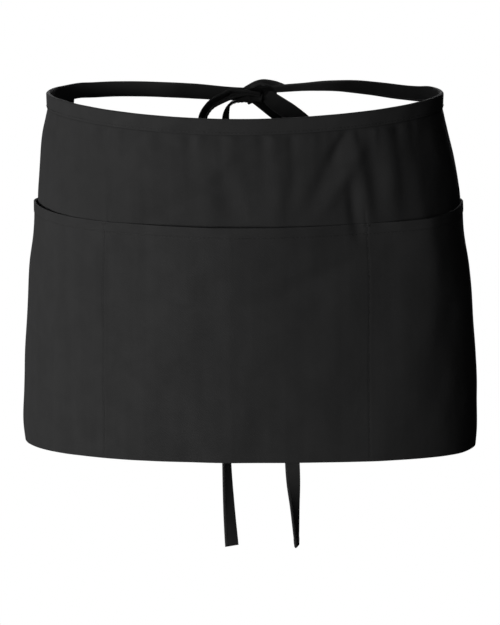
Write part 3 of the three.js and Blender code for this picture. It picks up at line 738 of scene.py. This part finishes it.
def pocket_cloth():
    """The pocket layer: rows down its outer face, half a turn under the hem to meet the panel's lower edge, and the
    same rows back up inside, closed by a half circle along the mouth. Its lip and hidden face have painted shade
    at the right."""
    c = cut()
    mouth = mouth_drop()
    last = c.panel_length - HEM_BEND
    rows = np.concatenate([
        mouth + np.array([0.5, 1.4, 2.8, 4.4, 6.0, 7.2, 7.8, 8.3, 8.8, 9.4, 10.6]) / 1000,
        np.arange(mouth + 0.0125, last - 0.001, 0.0021), [last],
    ])
    s, d = places_across()[:, None], rows[None, :]
    share = rounded_side(s)
    out = pocket_out(s, d)
    middle = out - c.cloth / 2
    inner = np.minimum(out - c.cloth, c.cloth / 2 + AIR + pocket_gap(s, d))
    face = cloth_point(s, d, middle + c.cloth / 2 * share)
    back = cloth_point(s, d, np.minimum(inner, middle - c.cloth / 2 * share))
    turn = np.linspace(0, np.pi, 9)[None, 1:]
    under, inside = (
        cloth_point(s, last + bend * np.sin(turn), (c.cloth + AIR) / 2 + bend * np.cos(turn) * share)
        for bend in (HEM_BEND, HEM_BEND - c.cloth)
    )
    lip = np.linspace(0, np.pi, 8)[None, 1:-1]
    half = (out[:, :1] - inner[:, :1]) / 2 * share
    edge = cloth_point(s, rows[0] - half * np.sin(lip), (out[:, :1] + inner[:, :1]) / 2 - half * np.cos(lip))
    cut_at = edge.shape[1] // 2
    rings = np.concatenate([edge[:, cut_at:], face, under, inside[:, ::-1], back[:, ::-1], edge[:, :cut_at]], 1)
    flat, over, down = woven(s, d), woven(s, rows[0] - half.mean() * np.sin(lip)), woven(s, last + HEM_BEND * turn)
    weave = np.concatenate([over[:, cut_at:], flat, down, down[:, ::-1], flat[:, ::-1], over[:, :cut_at]], 1)
    across, drop = weave[..., 0] / c.panel_width, weave[..., 1]
    wear_and_painted_shading = np.maximum.reduce([
        np.exp(-np.abs(drop - mouth) / 0.0011), 0.8 * np.exp(-np.abs(c.panel_length - drop) / 0.0012),
        np.exp(-side_edge(across) / 0.0015),
    ])
    column = np.arange(rings.shape[1]) - (edge.shape[1] - cut_at)
    seen = (column >= 0) & (column < flat.shape[1] + down.shape[1])
    # Painted shade: the lip, the turned inside and the hidden back face are darkened towards the right
    wear_and_painted_shading = wear_and_painted_shading - 2 * ~seen * blend(0.1, 0.16, rings[..., 0])
    return wall_object("pocket_panel_cloth", rings, weave=weave, edge=wear_and_painted_shading)


def thread_on_pocket(across, drop):
    """How far out the stitches lie on the pocket cloth."""
    return pocket_out(across, drop) + cut().thread * 0.05


def panel_stitches():
    """Rows of stitches through the pocket cloth and along the side hems, with a bar of stitches across both
    pocket lines at the mouth."""
    c = cut()
    mouth = mouth_drop()
    body_face, body_back = c.cloth / 2 - 0.00005, -c.cloth / 2 - 0.0007
    end = c.panel_length - 0.0015
    hem = (c.side_hem - SIDE_SEAM) / c.panel_width
    reach = 0.0042 / c.panel_width
    lines = [surface_line((-0.497, 0.497), (mouth + c.mouth_hem - MOUTH_SEAM,) * 2, thread_on_pocket, 900)]
    for side, place in zip((-1, 1), POCKET_LINES):
        edge = side * (0.5 - hem)
        lines.append(surface_line((place, place), (mouth + 0.001, end), thread_on_pocket))
        lines.extend(
            surface_line((place - reach, place + reach), (mouth + 0.001 + row * 0.0006,) * 2, thread_on_pocket, 20)
            for row in range(3)
        )
        lines.append(surface_line((edge, edge), (c.strap_width + 0.001, mouth - 0.0015), body_face))
        lines.append(surface_line((edge, edge), (mouth + 0.001, end), thread_on_pocket))
        points, ups = surface_line((edge, edge), (c.strap_width + 0.001, end), body_back)
        lines.append((points, -ups))
    return stitched("panel_stitches", lines)


# The waistband and the straps

def knot_middle():
    """The middle of the knot, a little outside the straps' line round the waist."""
    return np.array([KNOT_SHIFT, WAIST_HALF_DEPTH + KNOT_STANDOFF, -cut().strap_width / 2 - KNOT_SAG])


def waist_stations():
    """The whole strip from the knot round one side, along the panel's top edge and back round the other side: its
    middle line, the direction in which it is wide, its width, and 1 where its leaves are apart and 0 where they
    meet."""
    c = cut()
    a, b = np.array(WAIST_HALF_WIDTH), np.array(WAIST_HALF_DEPTH)
    half_band = (c.panel_width - c.band_gather) / 2
    knot_angle = np.pi - np.arcsin((KNOT_SHIFT - WAIST_SHIFT) / WAIST_HALF_WIDTH)
    up = np.array([0, 0, 1.0])
    sides = []
    for rows, side, end in ((STRAP_LEFT, -1, knot_angle - 2 * np.pi), (STRAP_RIGHT, 1, knot_angle)):
        along, sag, lean, width = (np.array(rows[key]) for key in ("along", "sag", "lean", "width"))
        start = angle_at(np.array(WORN_SHIFT + side * (half_band + AIR)), a, b)
        angle = start + (end - start) * along
        outward = unit(np.stack([b * np.sin(angle), -a * np.cos(angle), 0 * angle], -1))
        lean = np.radians(lean)[:, None]
        z = -c.strap_width / 2 - KNOT_SAG * sag + 0.0003 + 0.0003 * blend(0, 0.1, along)
        points = np.stack([WAIST_SHIFT + a * np.sin(angle), -b * np.cos(angle), z], -1)
        sides.append((points, np.cos(lean) * up - np.sin(lean) * outward, width, 0 * along))
    across = np.linspace(-0.5, 0.5, 43)[1:-1]
    band = cloth_point(across, c.strap_width / 2, 0.0, ripple=0.0)
    middle = (band, np.broadcast_to(up, band.shape), np.ones(len(band)), np.ones(len(band)))
    points, wide, width, parted = (
        np.concatenate([left[::-1], centre, right]) for left, centre, right in zip(sides[0], middle, sides[1])
    )
    return points, wide, width * c.strap_width, parted


def folded_section(gap, leaf, width):
    """How far down and how far out each point of a folded strip's section is, for columns of gaps and widths: the
    outer face from one leaf's edge up over the fold and down to the other leaf's edge, and the inner face back.
    The fold is half a circle, and each leaf ends in half a circle as thick as the leaf."""
    down = np.linspace(1, 0, 9)
    turn = np.linspace(0, np.pi, 9)[1:-1]
    corner = np.linspace(np.pi / 2, 0, 3, endpoint=False)
    outside, low = gap + leaf, width - leaf / 2
    tip, flat = low + np.sin(corner) * leaf / 2, outside + (low - outside) * down
    drops, outs = [], []
    for radius, side in ((outside, 1), (gap, -1)):
        half = np.concatenate([gap + leaf / 2 + side * np.cos(corner) * leaf / 2, radius + 0 * flat], 1)
        leg = np.concatenate([tip, flat], 1)
        drops.append(np.concatenate([leg, outside - radius * np.sin(turn), leg[:, ::-1]], 1))
        outs.append(np.concatenate([half, radius * np.cos(turn), -half[:, ::-1]], 1))
    return there_and_back(*drops), there_and_back(*outs)


def waist_strip():
    """Waistband and straps: one strip folded lengthwise over the panel's edge. Its leaves part over the panel and
    meet past its ends, which is the gap's blend from one station to the next. The inner face behind has painted
    light at the left and painted shade at the right, and both ends, inside the knot, have painted shade."""
    c = cut()
    stations, wide, width, parted = waist_stations()
    run = run_along(stations)
    at, line, tangent = along_line(stations, run, 780)
    wide = squared(unit(through(run, wide, at)), tangent)
    out = np.cross(tangent, wide)
    width = np.interp(at, run, width)
    gap = LEAF_AIR + (c.cloth / 2 + 0.0001) * blend(0.0, 0.8, np.interp(at, run, parted))
    leaf = c.strap_thick / 2 - LEAF_AIR
    s, w, g = (column[:, None] for column in (at, width, gap))
    q, p = folded_section(g, leaf, w)
    pull = FURROW * bell(w - q - STRAP_SEAM, FURROW_WIDTH) * (1 + 0.6 * np.sin(s * 2 * np.pi / 0.0061))
    p = p - np.sign(p) * pull * (np.abs(p) > g + leaf / 2)
    sway = 0.0002 * np.sin(s * 71 + 0.7)
    wander = sway * (q / w) + 0.00015 * np.sin(s * 190 + q * 160)
    rings = line[:, None] + (w / 2 - q)[..., None] * wide[:, None] + (p + wander)[..., None] * out[:, None]
    rolled = np.cumsum(np.hypot(np.diff(q, axis=1, prepend=q[:, :1]), np.diff(p, axis=1, prepend=p[:, :1])), 1)
    weave = np.stack([s + 0 * q, rolled, 0 * q], -1)
    wear_and_painted_shading = np.maximum(np.exp(-np.abs(q) / 0.0008), np.exp(-np.abs(w - q) / 0.0008))
    # Painted light and shade on the inner face behind: paler towards the left and darker towards the right
    inward = blend(0.001, -0.0005, p) * blend(-0.04, 0, rings[..., 1])
    wear_and_painted_shading = wear_and_painted_shading + inward * (2.1 * blend(-0.01, -0.09, rings[..., 0]) - 2.6 * blend(0.03, 0.12, rings[..., 0]))
    # Painted shade at both ends of the strip, where it runs into the knot
    wear_and_painted_shading = wear_and_painted_shading - 2 * (1 - blend(0.008, 0.013, s)) - 2 * blend(run[-1] - 0.012, run[-1] - 0.007, s)
    strip = wall_object("waistband_and_straps", rings, weave=weave, edge=wear_and_painted_shading)
    return strip, seam_lines(line, wide, out, width, gap + leaf, sway[:, 0], slice(14, -14)), float(run[-1])


# The bow: its two loops, its two tails and the knot

# Columns: to the side, down and behind from the knot's middle, width, and the direction in which the strap is wide
LOOP_LEFT = np.array([
    (-0.027, -0.014, -0.32, 0.66, 0, 1, -0.1), (-0.127, -0.033, -0.56, 0.7, 0.05, 0.97, -0.2),
    (-0.236, -0.036, -0.61, 0.82, 0.1, 0.93, -0.35), (-0.3, -0.004, -0.61, 0.92, 0.13, 0.88, -0.46),
    (-0.36, 0.034, -0.59, 1, 0.18, 0.85, -0.5), (-0.412, 0.078, -0.54, 1, 0.22, 0.9, -0.38),
    (-0.456, 0.134, -0.47, 1, 0.25, 0.94, -0.2), (-0.482, 0.209, -0.37, 1, 0.22, 0.96, -0.05),
    (-0.523, 0.39, -0.06, 1, 0.18, 1, 0), (-0.555, 0.6, 0.21, 1, 0.1, 1, 0),
    (-0.568, 0.82, 0.37, 1, 0.05, 1, 0), (-0.564, 0.93, 0.42, 1, 0, 1, 0),
    (-0.526, 0.965, 0.43, 1, 0, 1, 0), (-0.492, 0.92, 0.42, 1, 0, 1, 0),
    (-0.486, 0.8, 0.32, 1, 0.03, 1, 0), (-0.491, 0.58, 0.13, 1, 0, 1, 0),
    (-0.473, 0.38, -0.12, 1, -0.03, 1, 0), (-0.453, 0.22, -0.34, 1, -0.08, 1, 0.03),
    (-0.428, 0.14, -0.45, 1, -0.1, 0.99, 0.08), (-0.386, 0.086, -0.52, 1, -0.1, 0.99, 0.1),
    (-0.3, 0.038, -0.56, 0.92, -0.06, 0.98, 0.15), (-0.2, 0.002, -0.55, 0.78, -0.03, 0.98, 0.1),
    (-0.11, -0.011, -0.48, 0.7, 0, 1, 0), (-0.027, 0, -0.32, 0.66, 0, 1, 0),
])
LOOP_RIGHT = np.array([
    (0.03, 0.006, -0.26, 0.98, 0.5, 0, 0.86), (0.118, 0.07, -0.36, 1.12, 0.54, 0, 0.84),
    (0.204, 0.125, -0.4, 1.14, 0.54, 0, 0.84), (0.307, 0.2, -0.45, 1.08, 0.56, 0, 0.82),
    (0.435, 0.32, -0.48, 1, 0.62, 0, 0.78), (0.565, 0.45, -0.46, 1, 0.68, 0, 0.73),
    (0.665, 0.58, -0.32, 1, 0.74, 0, 0.67), (0.72, 0.67, 0, 1, 0.76, 0, 0.65),
    (0.72, 0.68, 0.4, 1, 0.76, 0, 0.65), (0.655, 0.6, 0.72, 1, 0.74, 0, 0.67),
    (0.535, 0.465, 0.84, 1, 0.68, 0, 0.73), (0.395, 0.32, 0.8, 1, 0.6, 0, 0.8),
    (0.265, 0.2, 0.68, 1, 0.54, 0, 0.84), (0.155, 0.115, 0.5, 0.9, 0.54, 0, 0.84),
    (0.02, 0.01, 0.3, 0.72, 0.5, 0, 0.86),
])
TAIL_LEFT = np.array([
    (-0.05, 0.0153, 0.16, 0.66, 0, 1, 0), (-0.31, 0.0153, 0.16, 0.68, 0, 1, 0),
    (-0.4, 0.0175, 0.16, 0.8, 0, 1, 0), (-0.47, 0.025, 0.17, 0.9, 0.12, 1, 0),
    (-0.512, 0.042, 0.2, 0.98, 0.33, 0.94, 0), (-0.522, 0.065, 0.26, 1, 0.4, 0.9, 0),
    (-0.533, 0.15, 0.5, 1, 0.4, 0.92, 0), (-0.538, 0.3, 0.95, 1, 0.42, 0.9, 0),
    (-0.533, 0.5, 1.25, 1, 0.44, 0.9, 0), (-0.521, 0.68, 1.3, 1, 0.46, 0.9, 0),
    (-0.508, 0.82, 1.25, 1, 0.55, 0.85, 0), (-0.475, 0.92, 1.2, 1, 0.75, 0.68, 0),
    (-0.435, 1, 1.16, 1, 0.9, 0.45, 0),
])
TAIL_RIGHT = np.array([
    (-0.12, 0.0135, -0.1, 0.75, 0.12, 0.95, 0.3), (-0.03, 0.0205, -0.12, 0.95, 0.2, 0.9, 0.4),
    (0.1, 0.034, -0.12, 0.95, 0.3, 0.8, 0.52), (0.215, 0.049, -0.08, 1, 0.4, 0.8, 0.44),
    (0.262, 0.07, 0.05, 1, 0.6, 0.78, 0.2), (0.29, 0.1, 0.24, 1, 0.7, 0.7, 0.05),
    (0.31, 0.16, 0.5, 1, 0.85, 0.5, 0), (0.362, 0.3, 0.9, 1, 0.95, 0.25, 0),
    (0.398, 0.5, 1.22, 1, 1, 0.1, 0), (0.415, 0.68, 1.27, 1, 1, 0, 0),
    (0.436, 0.82, 1.22, 1, 1, 0.12, 0), (0.472, 0.92, 1.18, 1, 0.55, 0.83, 0),
    (0.5, 1.002, 1.14, 1, 0.18, 1, 0),
])


def strap_fields(profile, run, width, round_share):
    """Metres along and across a strap for its weave, the hidden face's 20 mm further on, and how worn it is: exp of
    minus the distance from its edges over 2.2 mm."""
    side, bulge, out = profile
    place = side * width[:, None] / 2
    weave = np.stack(np.broadcast_arrays(run[:, None], place + 0.02 * (out < 0), 0 * place), -1)
    from_edge = (1 - np.abs(side + round_share * bulge)).clip(0) * width[:, None]
    return weave, np.exp(-from_edge / 0.0022)


def tape(name, table, reach, fall, sections, free_end):
    """A strap of the bow: its section carried along the table's line, which is scaled by reach sideways and fall
    downwards from the knot's middle. It arches across by a tenth of a millimetre or so that varies along it, and
    a free end is turned in, so it is thicker over its last 7 mm."""
    c = cut()
    stations = knot_middle() + np.stack([table[:, 0] * reach, table[:, 2] * KNOT_DEPTH, -table[:, 1] * fall], -1)
    places = chord_places(stations)
    at, points, tangents = along_line(stations, places, sections)
    wide = unit(through(places, table[:, 4:7], at))
    width = np.interp(at, places, table[:, 3]) * c.strap_width
    run = run_along(points)
    from_end = run[-1] - run
    thick = c.strap_thick / 2 * (1 + 0.066 * np.sin(run * 83 + 1))
    if free_end:
        thick = thick * (1 + 0.3 * blend(0.0085, 0.0065, from_end)) * rounded(from_end, 0.0012, 0.1)
    cup = 0.00022 * np.sin(run * 47 + 0.6) + 0.0001 * np.sin(run * 131)
    profile = tape_profile(13, 5, 0.45)
    rings = strap_rings(points, tangents, wide, width / 2, thick, cup, profile)
    weave, wear_and_painted_shading = strap_fields(profile, run, width, 0.2)
    if free_end:
        wear_and_painted_shading = np.maximum(wear_and_painted_shading, np.exp(-from_end / 0.001)[:, None])
    piece = wall_object(name, rings, weave=weave, edge=wear_and_painted_shading)
    wide = squared(wide, tangents)
    thin = np.cross(tangents, wide)
    return piece, seam_lines(points, wide, thin, width, thick, cup * 0.45, slice(4, -2)), float(run[-1])


def tape_shell(points, tangents, wide, width, thick, cup, closed):
    """Points and faces of one strap of the knot, an open one closed at its ends or a ring."""
    profile = tape_profile(11, 4, 0.5)
    rings = strap_rings(points, tangents, unit(wide), width / 2, thick, cup, profile)
    sections, count = rings.shape[:2]
    faces = grid_faces(sections, count) if closed else ring_faces(sections, count)
    weave, wear_and_painted_shading = strap_fields(profile, run_along(points), width, 0)
    return rings.reshape(-1, 3), faces, weave.reshape(-1, 3), wear_and_painted_shading.reshape(-1)


def wound(middle, lean, radii, slant, width, turns=90):
    """A strap wound once round the knot: x leans with the height, y and z follow an ellipse of the given radii,
    raised by slant times y towards the back, and the radius swells by a twentieth where the layers beneath cross."""
    t = np.linspace(0, 2 * np.pi, turns, endpoint=False)
    swell = 1 + 0.05 * np.cos(3 * t + 0.8)
    behind = -radii[0] * np.cos(t) * swell
    points = middle + np.stack([lean * np.sin(t), behind, np.sin(t) * radii[1] * swell + slant * behind], -1)
    tangents = unit(np.roll(points, -1, axis=0) - np.roll(points, 1, axis=0))
    wide = np.broadcast_to(np.array([1.0, 0, lean / radii[1]]), points.shape)
    thick = np.full(turns, cut().strap_thick / 2 * 0.95)
    return tape_shell(points, tangents, wide, width * (1 + 0.05 * np.sin(2 * t)), thick, 0.0005 + 0 * t, True)


# The two wraps: their middle from the knot's middle, lean, radii behind and up, slant, and share of the width
WRAPS = (
    ((-0.006, 0.0002, -0.0016), 0.0012, (0.0088, 0.0042), 0.24, 0.92),
    ((0.0056, 0.0012, -0.0008), -0.001, (0.0068, 0.0052), 0.25, 0.85),
)

# Millimetres from the knot's middle: to the side, behind and up, and the direction in which the strap is wide
OVER_THE_TOP = np.array([
    (21, -6.2, 5, 0, -0.8, 0.6), (16.5, -5.4, 6.2, 0.1, -0.3, 0.8), (11.5, -4.2, 8.1, 0.1, 0.35, 0.8),
    (6, -3.4, 10, 0, 0.8, 0.6), (0, -3.2, 10.6, 0, 0.84, 0.54), (-6, -3.4, 8.9, -0.1, 0.8, 0.55),
    (-11, -3.2, 5.8, -0.2, 0.75, 0.6), (-15.5, -4, 2.6, -0.3, 0.8, 0.5), (-18, -3.2, -1, -0.3, 0.9, 0.4),
])


def knot_core(middle):
    """The knot's hidden folds, an egg whose radius ripples by a tenth, all in painted shade."""
    rows, count = 34, 44
    u, v = np.linspace(0.02, np.pi - 0.02, rows)[:, None], np.linspace(0, 2 * np.pi, count, endpoint=False)[None]
    ripple = 1 + 0.07 * np.sin(4 * v + 3 * u) * np.sin(u) + 0.04 * np.sin(7 * v - 5 * u) * np.sin(u)
    radius = 0.0072 * np.sin(u) ** 0.8
    egg = np.stack([-0.0142 * np.cos(u) + 0 * v, radius * np.cos(v) * ripple, radius * np.sin(v) * ripple], -1)
    egg = egg + middle + np.array([-0.0018, 0.001, 0.0014])
    weave = np.stack([0.0155 * u + 0 * v, 0.007 * v * np.sin(u), 0 * u * v], -1)
    # The edge value of -1 gives the whole egg painted shade
    return egg.reshape(-1, 3), ring_faces(rows, count), weave.reshape(-1, 3), -np.ones(rows * count)


def knot():
    """The knot: a lump of hidden folds, two straps wound round it and one that arches over its top."""
    middle, width = knot_middle(), cut().strap_width
    shells = [knot_core(middle)]
    for shift, lean, radii, slant, share in WRAPS:
        shells.append(wound(middle + np.array(shift), lean, radii, slant, width * share))
    stations = middle + OVER_THE_TOP[:, :3] / 1000
    places = chord_places(stations)
    at, points, tangents = along_line(stations, places, 80)
    wide = through(places, OVER_THE_TOP[:, 3:6], at)
    arch = np.sin(at * np.pi)
    widths, thick = width * (0.66 - 0.15 * arch), 0.0009 + 0 * at
    shells.append(tape_shell(points, tangents, wide, widths, thick, 0.0007 * arch, False))
    points, faces, weaves, edges = zip(*shells)
    first = np.cumsum([0] + [len(p) for p in points])
    faces = [facing_out(p, f) + n for p, f, n in zip(points, faces, first)]
    points, faces, weaves, edges = (np.concatenate(found) for found in (points, faces, weaves, edges))
    return mesh_object("bow_knot_wraps", points, faces, weave=weaves, edge=edges)


# Operators, one for each piece or group of like pieces

class APRON_OT_body(bpy.types.Operator):
    """Make the apron's cloth panel with its turned sides"""

    bl_idname = "apron.body"
    bl_label = "Panel"

    def execute(self, context):
        piece = finish_piece(body_cloth(), "panel_twill", "panel_cloth", "body_panel")
        return {"FINISHED"}


class APRON_OT_pockets(bpy.types.Operator):
    """Make the pocket cloth and the rows of stitches that divide it"""

    bl_idname = "apron.pockets"
    bl_label = "Pockets"

    def execute(self, context):
        piece = finish_piece(pocket_cloth(), "pocket_twill", "pocket_cloth", "pocket_panel")
        stitches = finish_piece(panel_stitches(), "sewing_thread", "pocket_cloth")
        return {"FINISHED"}


class APRON_OT_waistband(bpy.types.Operator):
    """Make the folded strip that is the waistband and both straps, the knot in it and its stitches"""

    bl_idname = "apron.waistband"
    bl_label = "Waistband and knot"

    def execute(self, context):
        strip, lines, run = waist_strip()
        finish_piece(strip, "strap_twill", "strap_cloth", "waistband", "strap_left", "strap_right")
        stitches = finish_piece(stitched("waistband_stitches", lines), "sewing_thread", "strap_cloth")
        wraps = finish_piece(knot(), "strap_twill", "strap_cloth", "bow_knot")
        return {"FINISHED"}


class APRON_OT_bow(bpy.types.Operator):
    """Make the bow's two loops and two tails with their stitches"""

    bl_idname = "apron.bow"
    bl_label = "Bow"

    def execute(self, context):
        made = (
            ("bow_loop_left", LOOP_LEFT, LOOP_LENGTH, LOOP_LENGTH, 260, False, "folded"),
            ("bow_loop_right", LOOP_RIGHT, LOOP_LENGTH, LOOP_LENGTH, 240, False, "folded"),
            ("strap_tail_left", TAIL_LEFT, TAIL_SPREAD, TAIL_LENGTH, 330, True, "hung"),
            ("strap_tail_right", TAIL_RIGHT, TAIL_SPREAD, TAIL_LENGTH, 330, True, "hung"),
        )
        for node, table, reach, fall, sections, free_end, held in made:
            piece, lines, run = tape(node + "_tape", table, reach, fall, sections, free_end)
            finish_piece(piece, "strap_twill", "strap_cloth", node)
            stitches = finish_piece(stitched(node + "_stitches", lines), "sewing_thread", "strap_cloth")
        return {"FINISHED"}


def seen_or_unseen(tree, output, unseen, seen):
    """Joins to the output what the camera sees and what every other ray meets."""
    w = Wiring(tree)
    path = w.add("ShaderNodeLightPath").outputs["Is Camera Ray"]
    mixed = w.add("ShaderNodeMixShader", {0: path, 1: unseen, 2: seen}).outputs[0]
    tree.links.new(mixed, tree.nodes[output].inputs["Surface"])


def pale_surface(name, seen, unseen):
    """A plain surface that looks white and sends little light back onto the black cloth."""
    material, tree, shader = node_tree(name)
    tree.nodes.remove(shader)
    w = Wiring(tree)
    white = w.add("ShaderNodeEmission", {"Color": seen + (1,), "Strength": 1.0}).outputs[0]
    dull = w.add("ShaderNodeBsdfDiffuse", {"Color": unseen + (1,)}).outputs[0]
    seen_or_unseen(tree, "Material Output", dull, white)
    return material


def look_at(piece, aim, place):
    """Puts a lamp or the camera at a place seen from the aim, turned to look at the aim, and into the scene."""
    piece.location = aim + place
    piece.rotation_mode = "QUATERNION"
    piece.rotation_quaternion = (-place).to_track_quat("-Z", "Y")
    bpy.context.scene.collection.objects.link(piece)


def soft_box(name, azimuth, elevation, distance, size, power, aim):
    """An area light, wider than it is high, that looks at the apron's middle from an azimuth, which is 0 in front
    and 90 on the right."""
    lamp = bpy.data.lights.new(name, "AREA")
    lamp.shape, lamp.size, lamp.size_y, lamp.energy = "RECTANGLE", size, size * 0.45, power
    a, e = math.radians(azimuth), math.radians(elevation)
    place = Vector((math.sin(a) * math.cos(e), -math.cos(a) * math.cos(e), math.sin(e))) * distance
    look_at(bpy.data.objects.new(name, lamp), aim, place)


class APRON_OT_studio(bpy.types.Operator):
    """Make the pale floor, the soft boxes and the camera"""

    bl_idname = "apron.studio"
    bl_label = "Studio"

    def execute(self, context):
        studio = context.scene.apron_studio
        aim = Vector((0, 0, studio.height))
        turn = np.linspace(0, 2 * np.pi, 96, endpoint=False)
        rings = np.array([0.0005, 4.0, 12.0, 60.0])
        x, y = rings[:, None] * np.cos(turn), rings[:, None] * np.sin(turn)
        points = np.stack([x, y, 0 * x - studio.floor_drop], -1).reshape(-1, 3)
        faces = grid_faces(len(rings), len(turn), len(rings) - 1)[:, ::-1]
        floor = mesh_object("studio_floor", points, faces)
        floor.data.materials.append(pale_surface("studio_paper", (1.0, 1.0, 1.0), (0.045, 0.045, 0.045)))
        for name, azimuth, elevation, watts in (
            ("key_box", -30, 3, studio.key_power), ("side_box", -90, 1, studio.side_power),
            ("back_box", 180, 20, studio.back_power),
        ):
            soft_box(name, azimuth, elevation, 4.5, 2.2, watts, aim)
        world = bpy.data.worlds.new("studio_air")
        context.scene.world = world
        world.use_nodes = True
        tree = world.node_tree
        air = tree.nodes["Background"]
        air.inputs["Color"].default_value = (0.03, 0.03, 0.031, 1)
        white = Wiring(tree).add("ShaderNodeBackground", {"Color": (1, 1, 1, 1), "Strength": 1.0}).outputs[0]
        seen_or_unseen(tree, "World Output", air.outputs[0], white)
        camera = bpy.data.objects.new("camera", bpy.data.cameras.new("camera"))
        e = studio.elevation
        look_at(camera, aim, Vector((0, -math.cos(e), math.sin(e))) * studio.distance)
        camera.data.sensor_width = 36
        camera.data.lens = camera.data.sensor_width * studio.distance / studio.framed
        camera.data.clip_start, camera.data.clip_end = 0.1, 200
        context.scene.camera = camera
        context.scene.view_settings.view_transform = "Standard"
        return {"FINISHED"}


class APRON_PT_panel(bpy.types.Panel):
    """The apron's pieces, sizes and colours"""

    bl_label = "Waist apron"
    bl_idname = "APRON_PT_panel"
    bl_space_type = "VIEW_3D"
    bl_region_type = "UI"
    bl_category = "Apron"

    def draw(self, context):
        for operator in OPERATORS:
            self.layout.operator(operator.bl_idname)
        for name, kind in GROUPS.items():
            box = self.layout.box()
            for key in kind.__annotations__:
                box.prop(getattr(context.scene, name), key)


OPERATORS = (APRON_OT_body, APRON_OT_pockets, APRON_OT_waistband, APRON_OT_bow, APRON_OT_studio)
GROUPS = {"apron_cut": ApronCut, "apron_look": ApronLook, "apron_studio": ApronStudio}
CLASSES = (*GROUPS.values(), *OPERATORS, APRON_PT_panel)


def register():
    for kind in CLASSES:
        bpy.utils.register_class(kind)
    for name, kind in GROUPS.items():
        setattr(bpy.types.Scene, name, bpy.props.PointerProperty(type=kind))


def unregister():
    for name in GROUPS:
        delattr(bpy.types.Scene, name)
    for kind in reversed(CLASSES):
        bpy.utils.unregister_class(kind)


def main():
    """Makes every piece and the studio."""
    register()
    bpy.ops.apron.body()
    bpy.ops.apron.pockets()
    bpy.ops.apron.waistband()
    bpy.ops.apron.bow()
    bpy.ops.apron.studio()


if __name__ == "__main__":
    main()
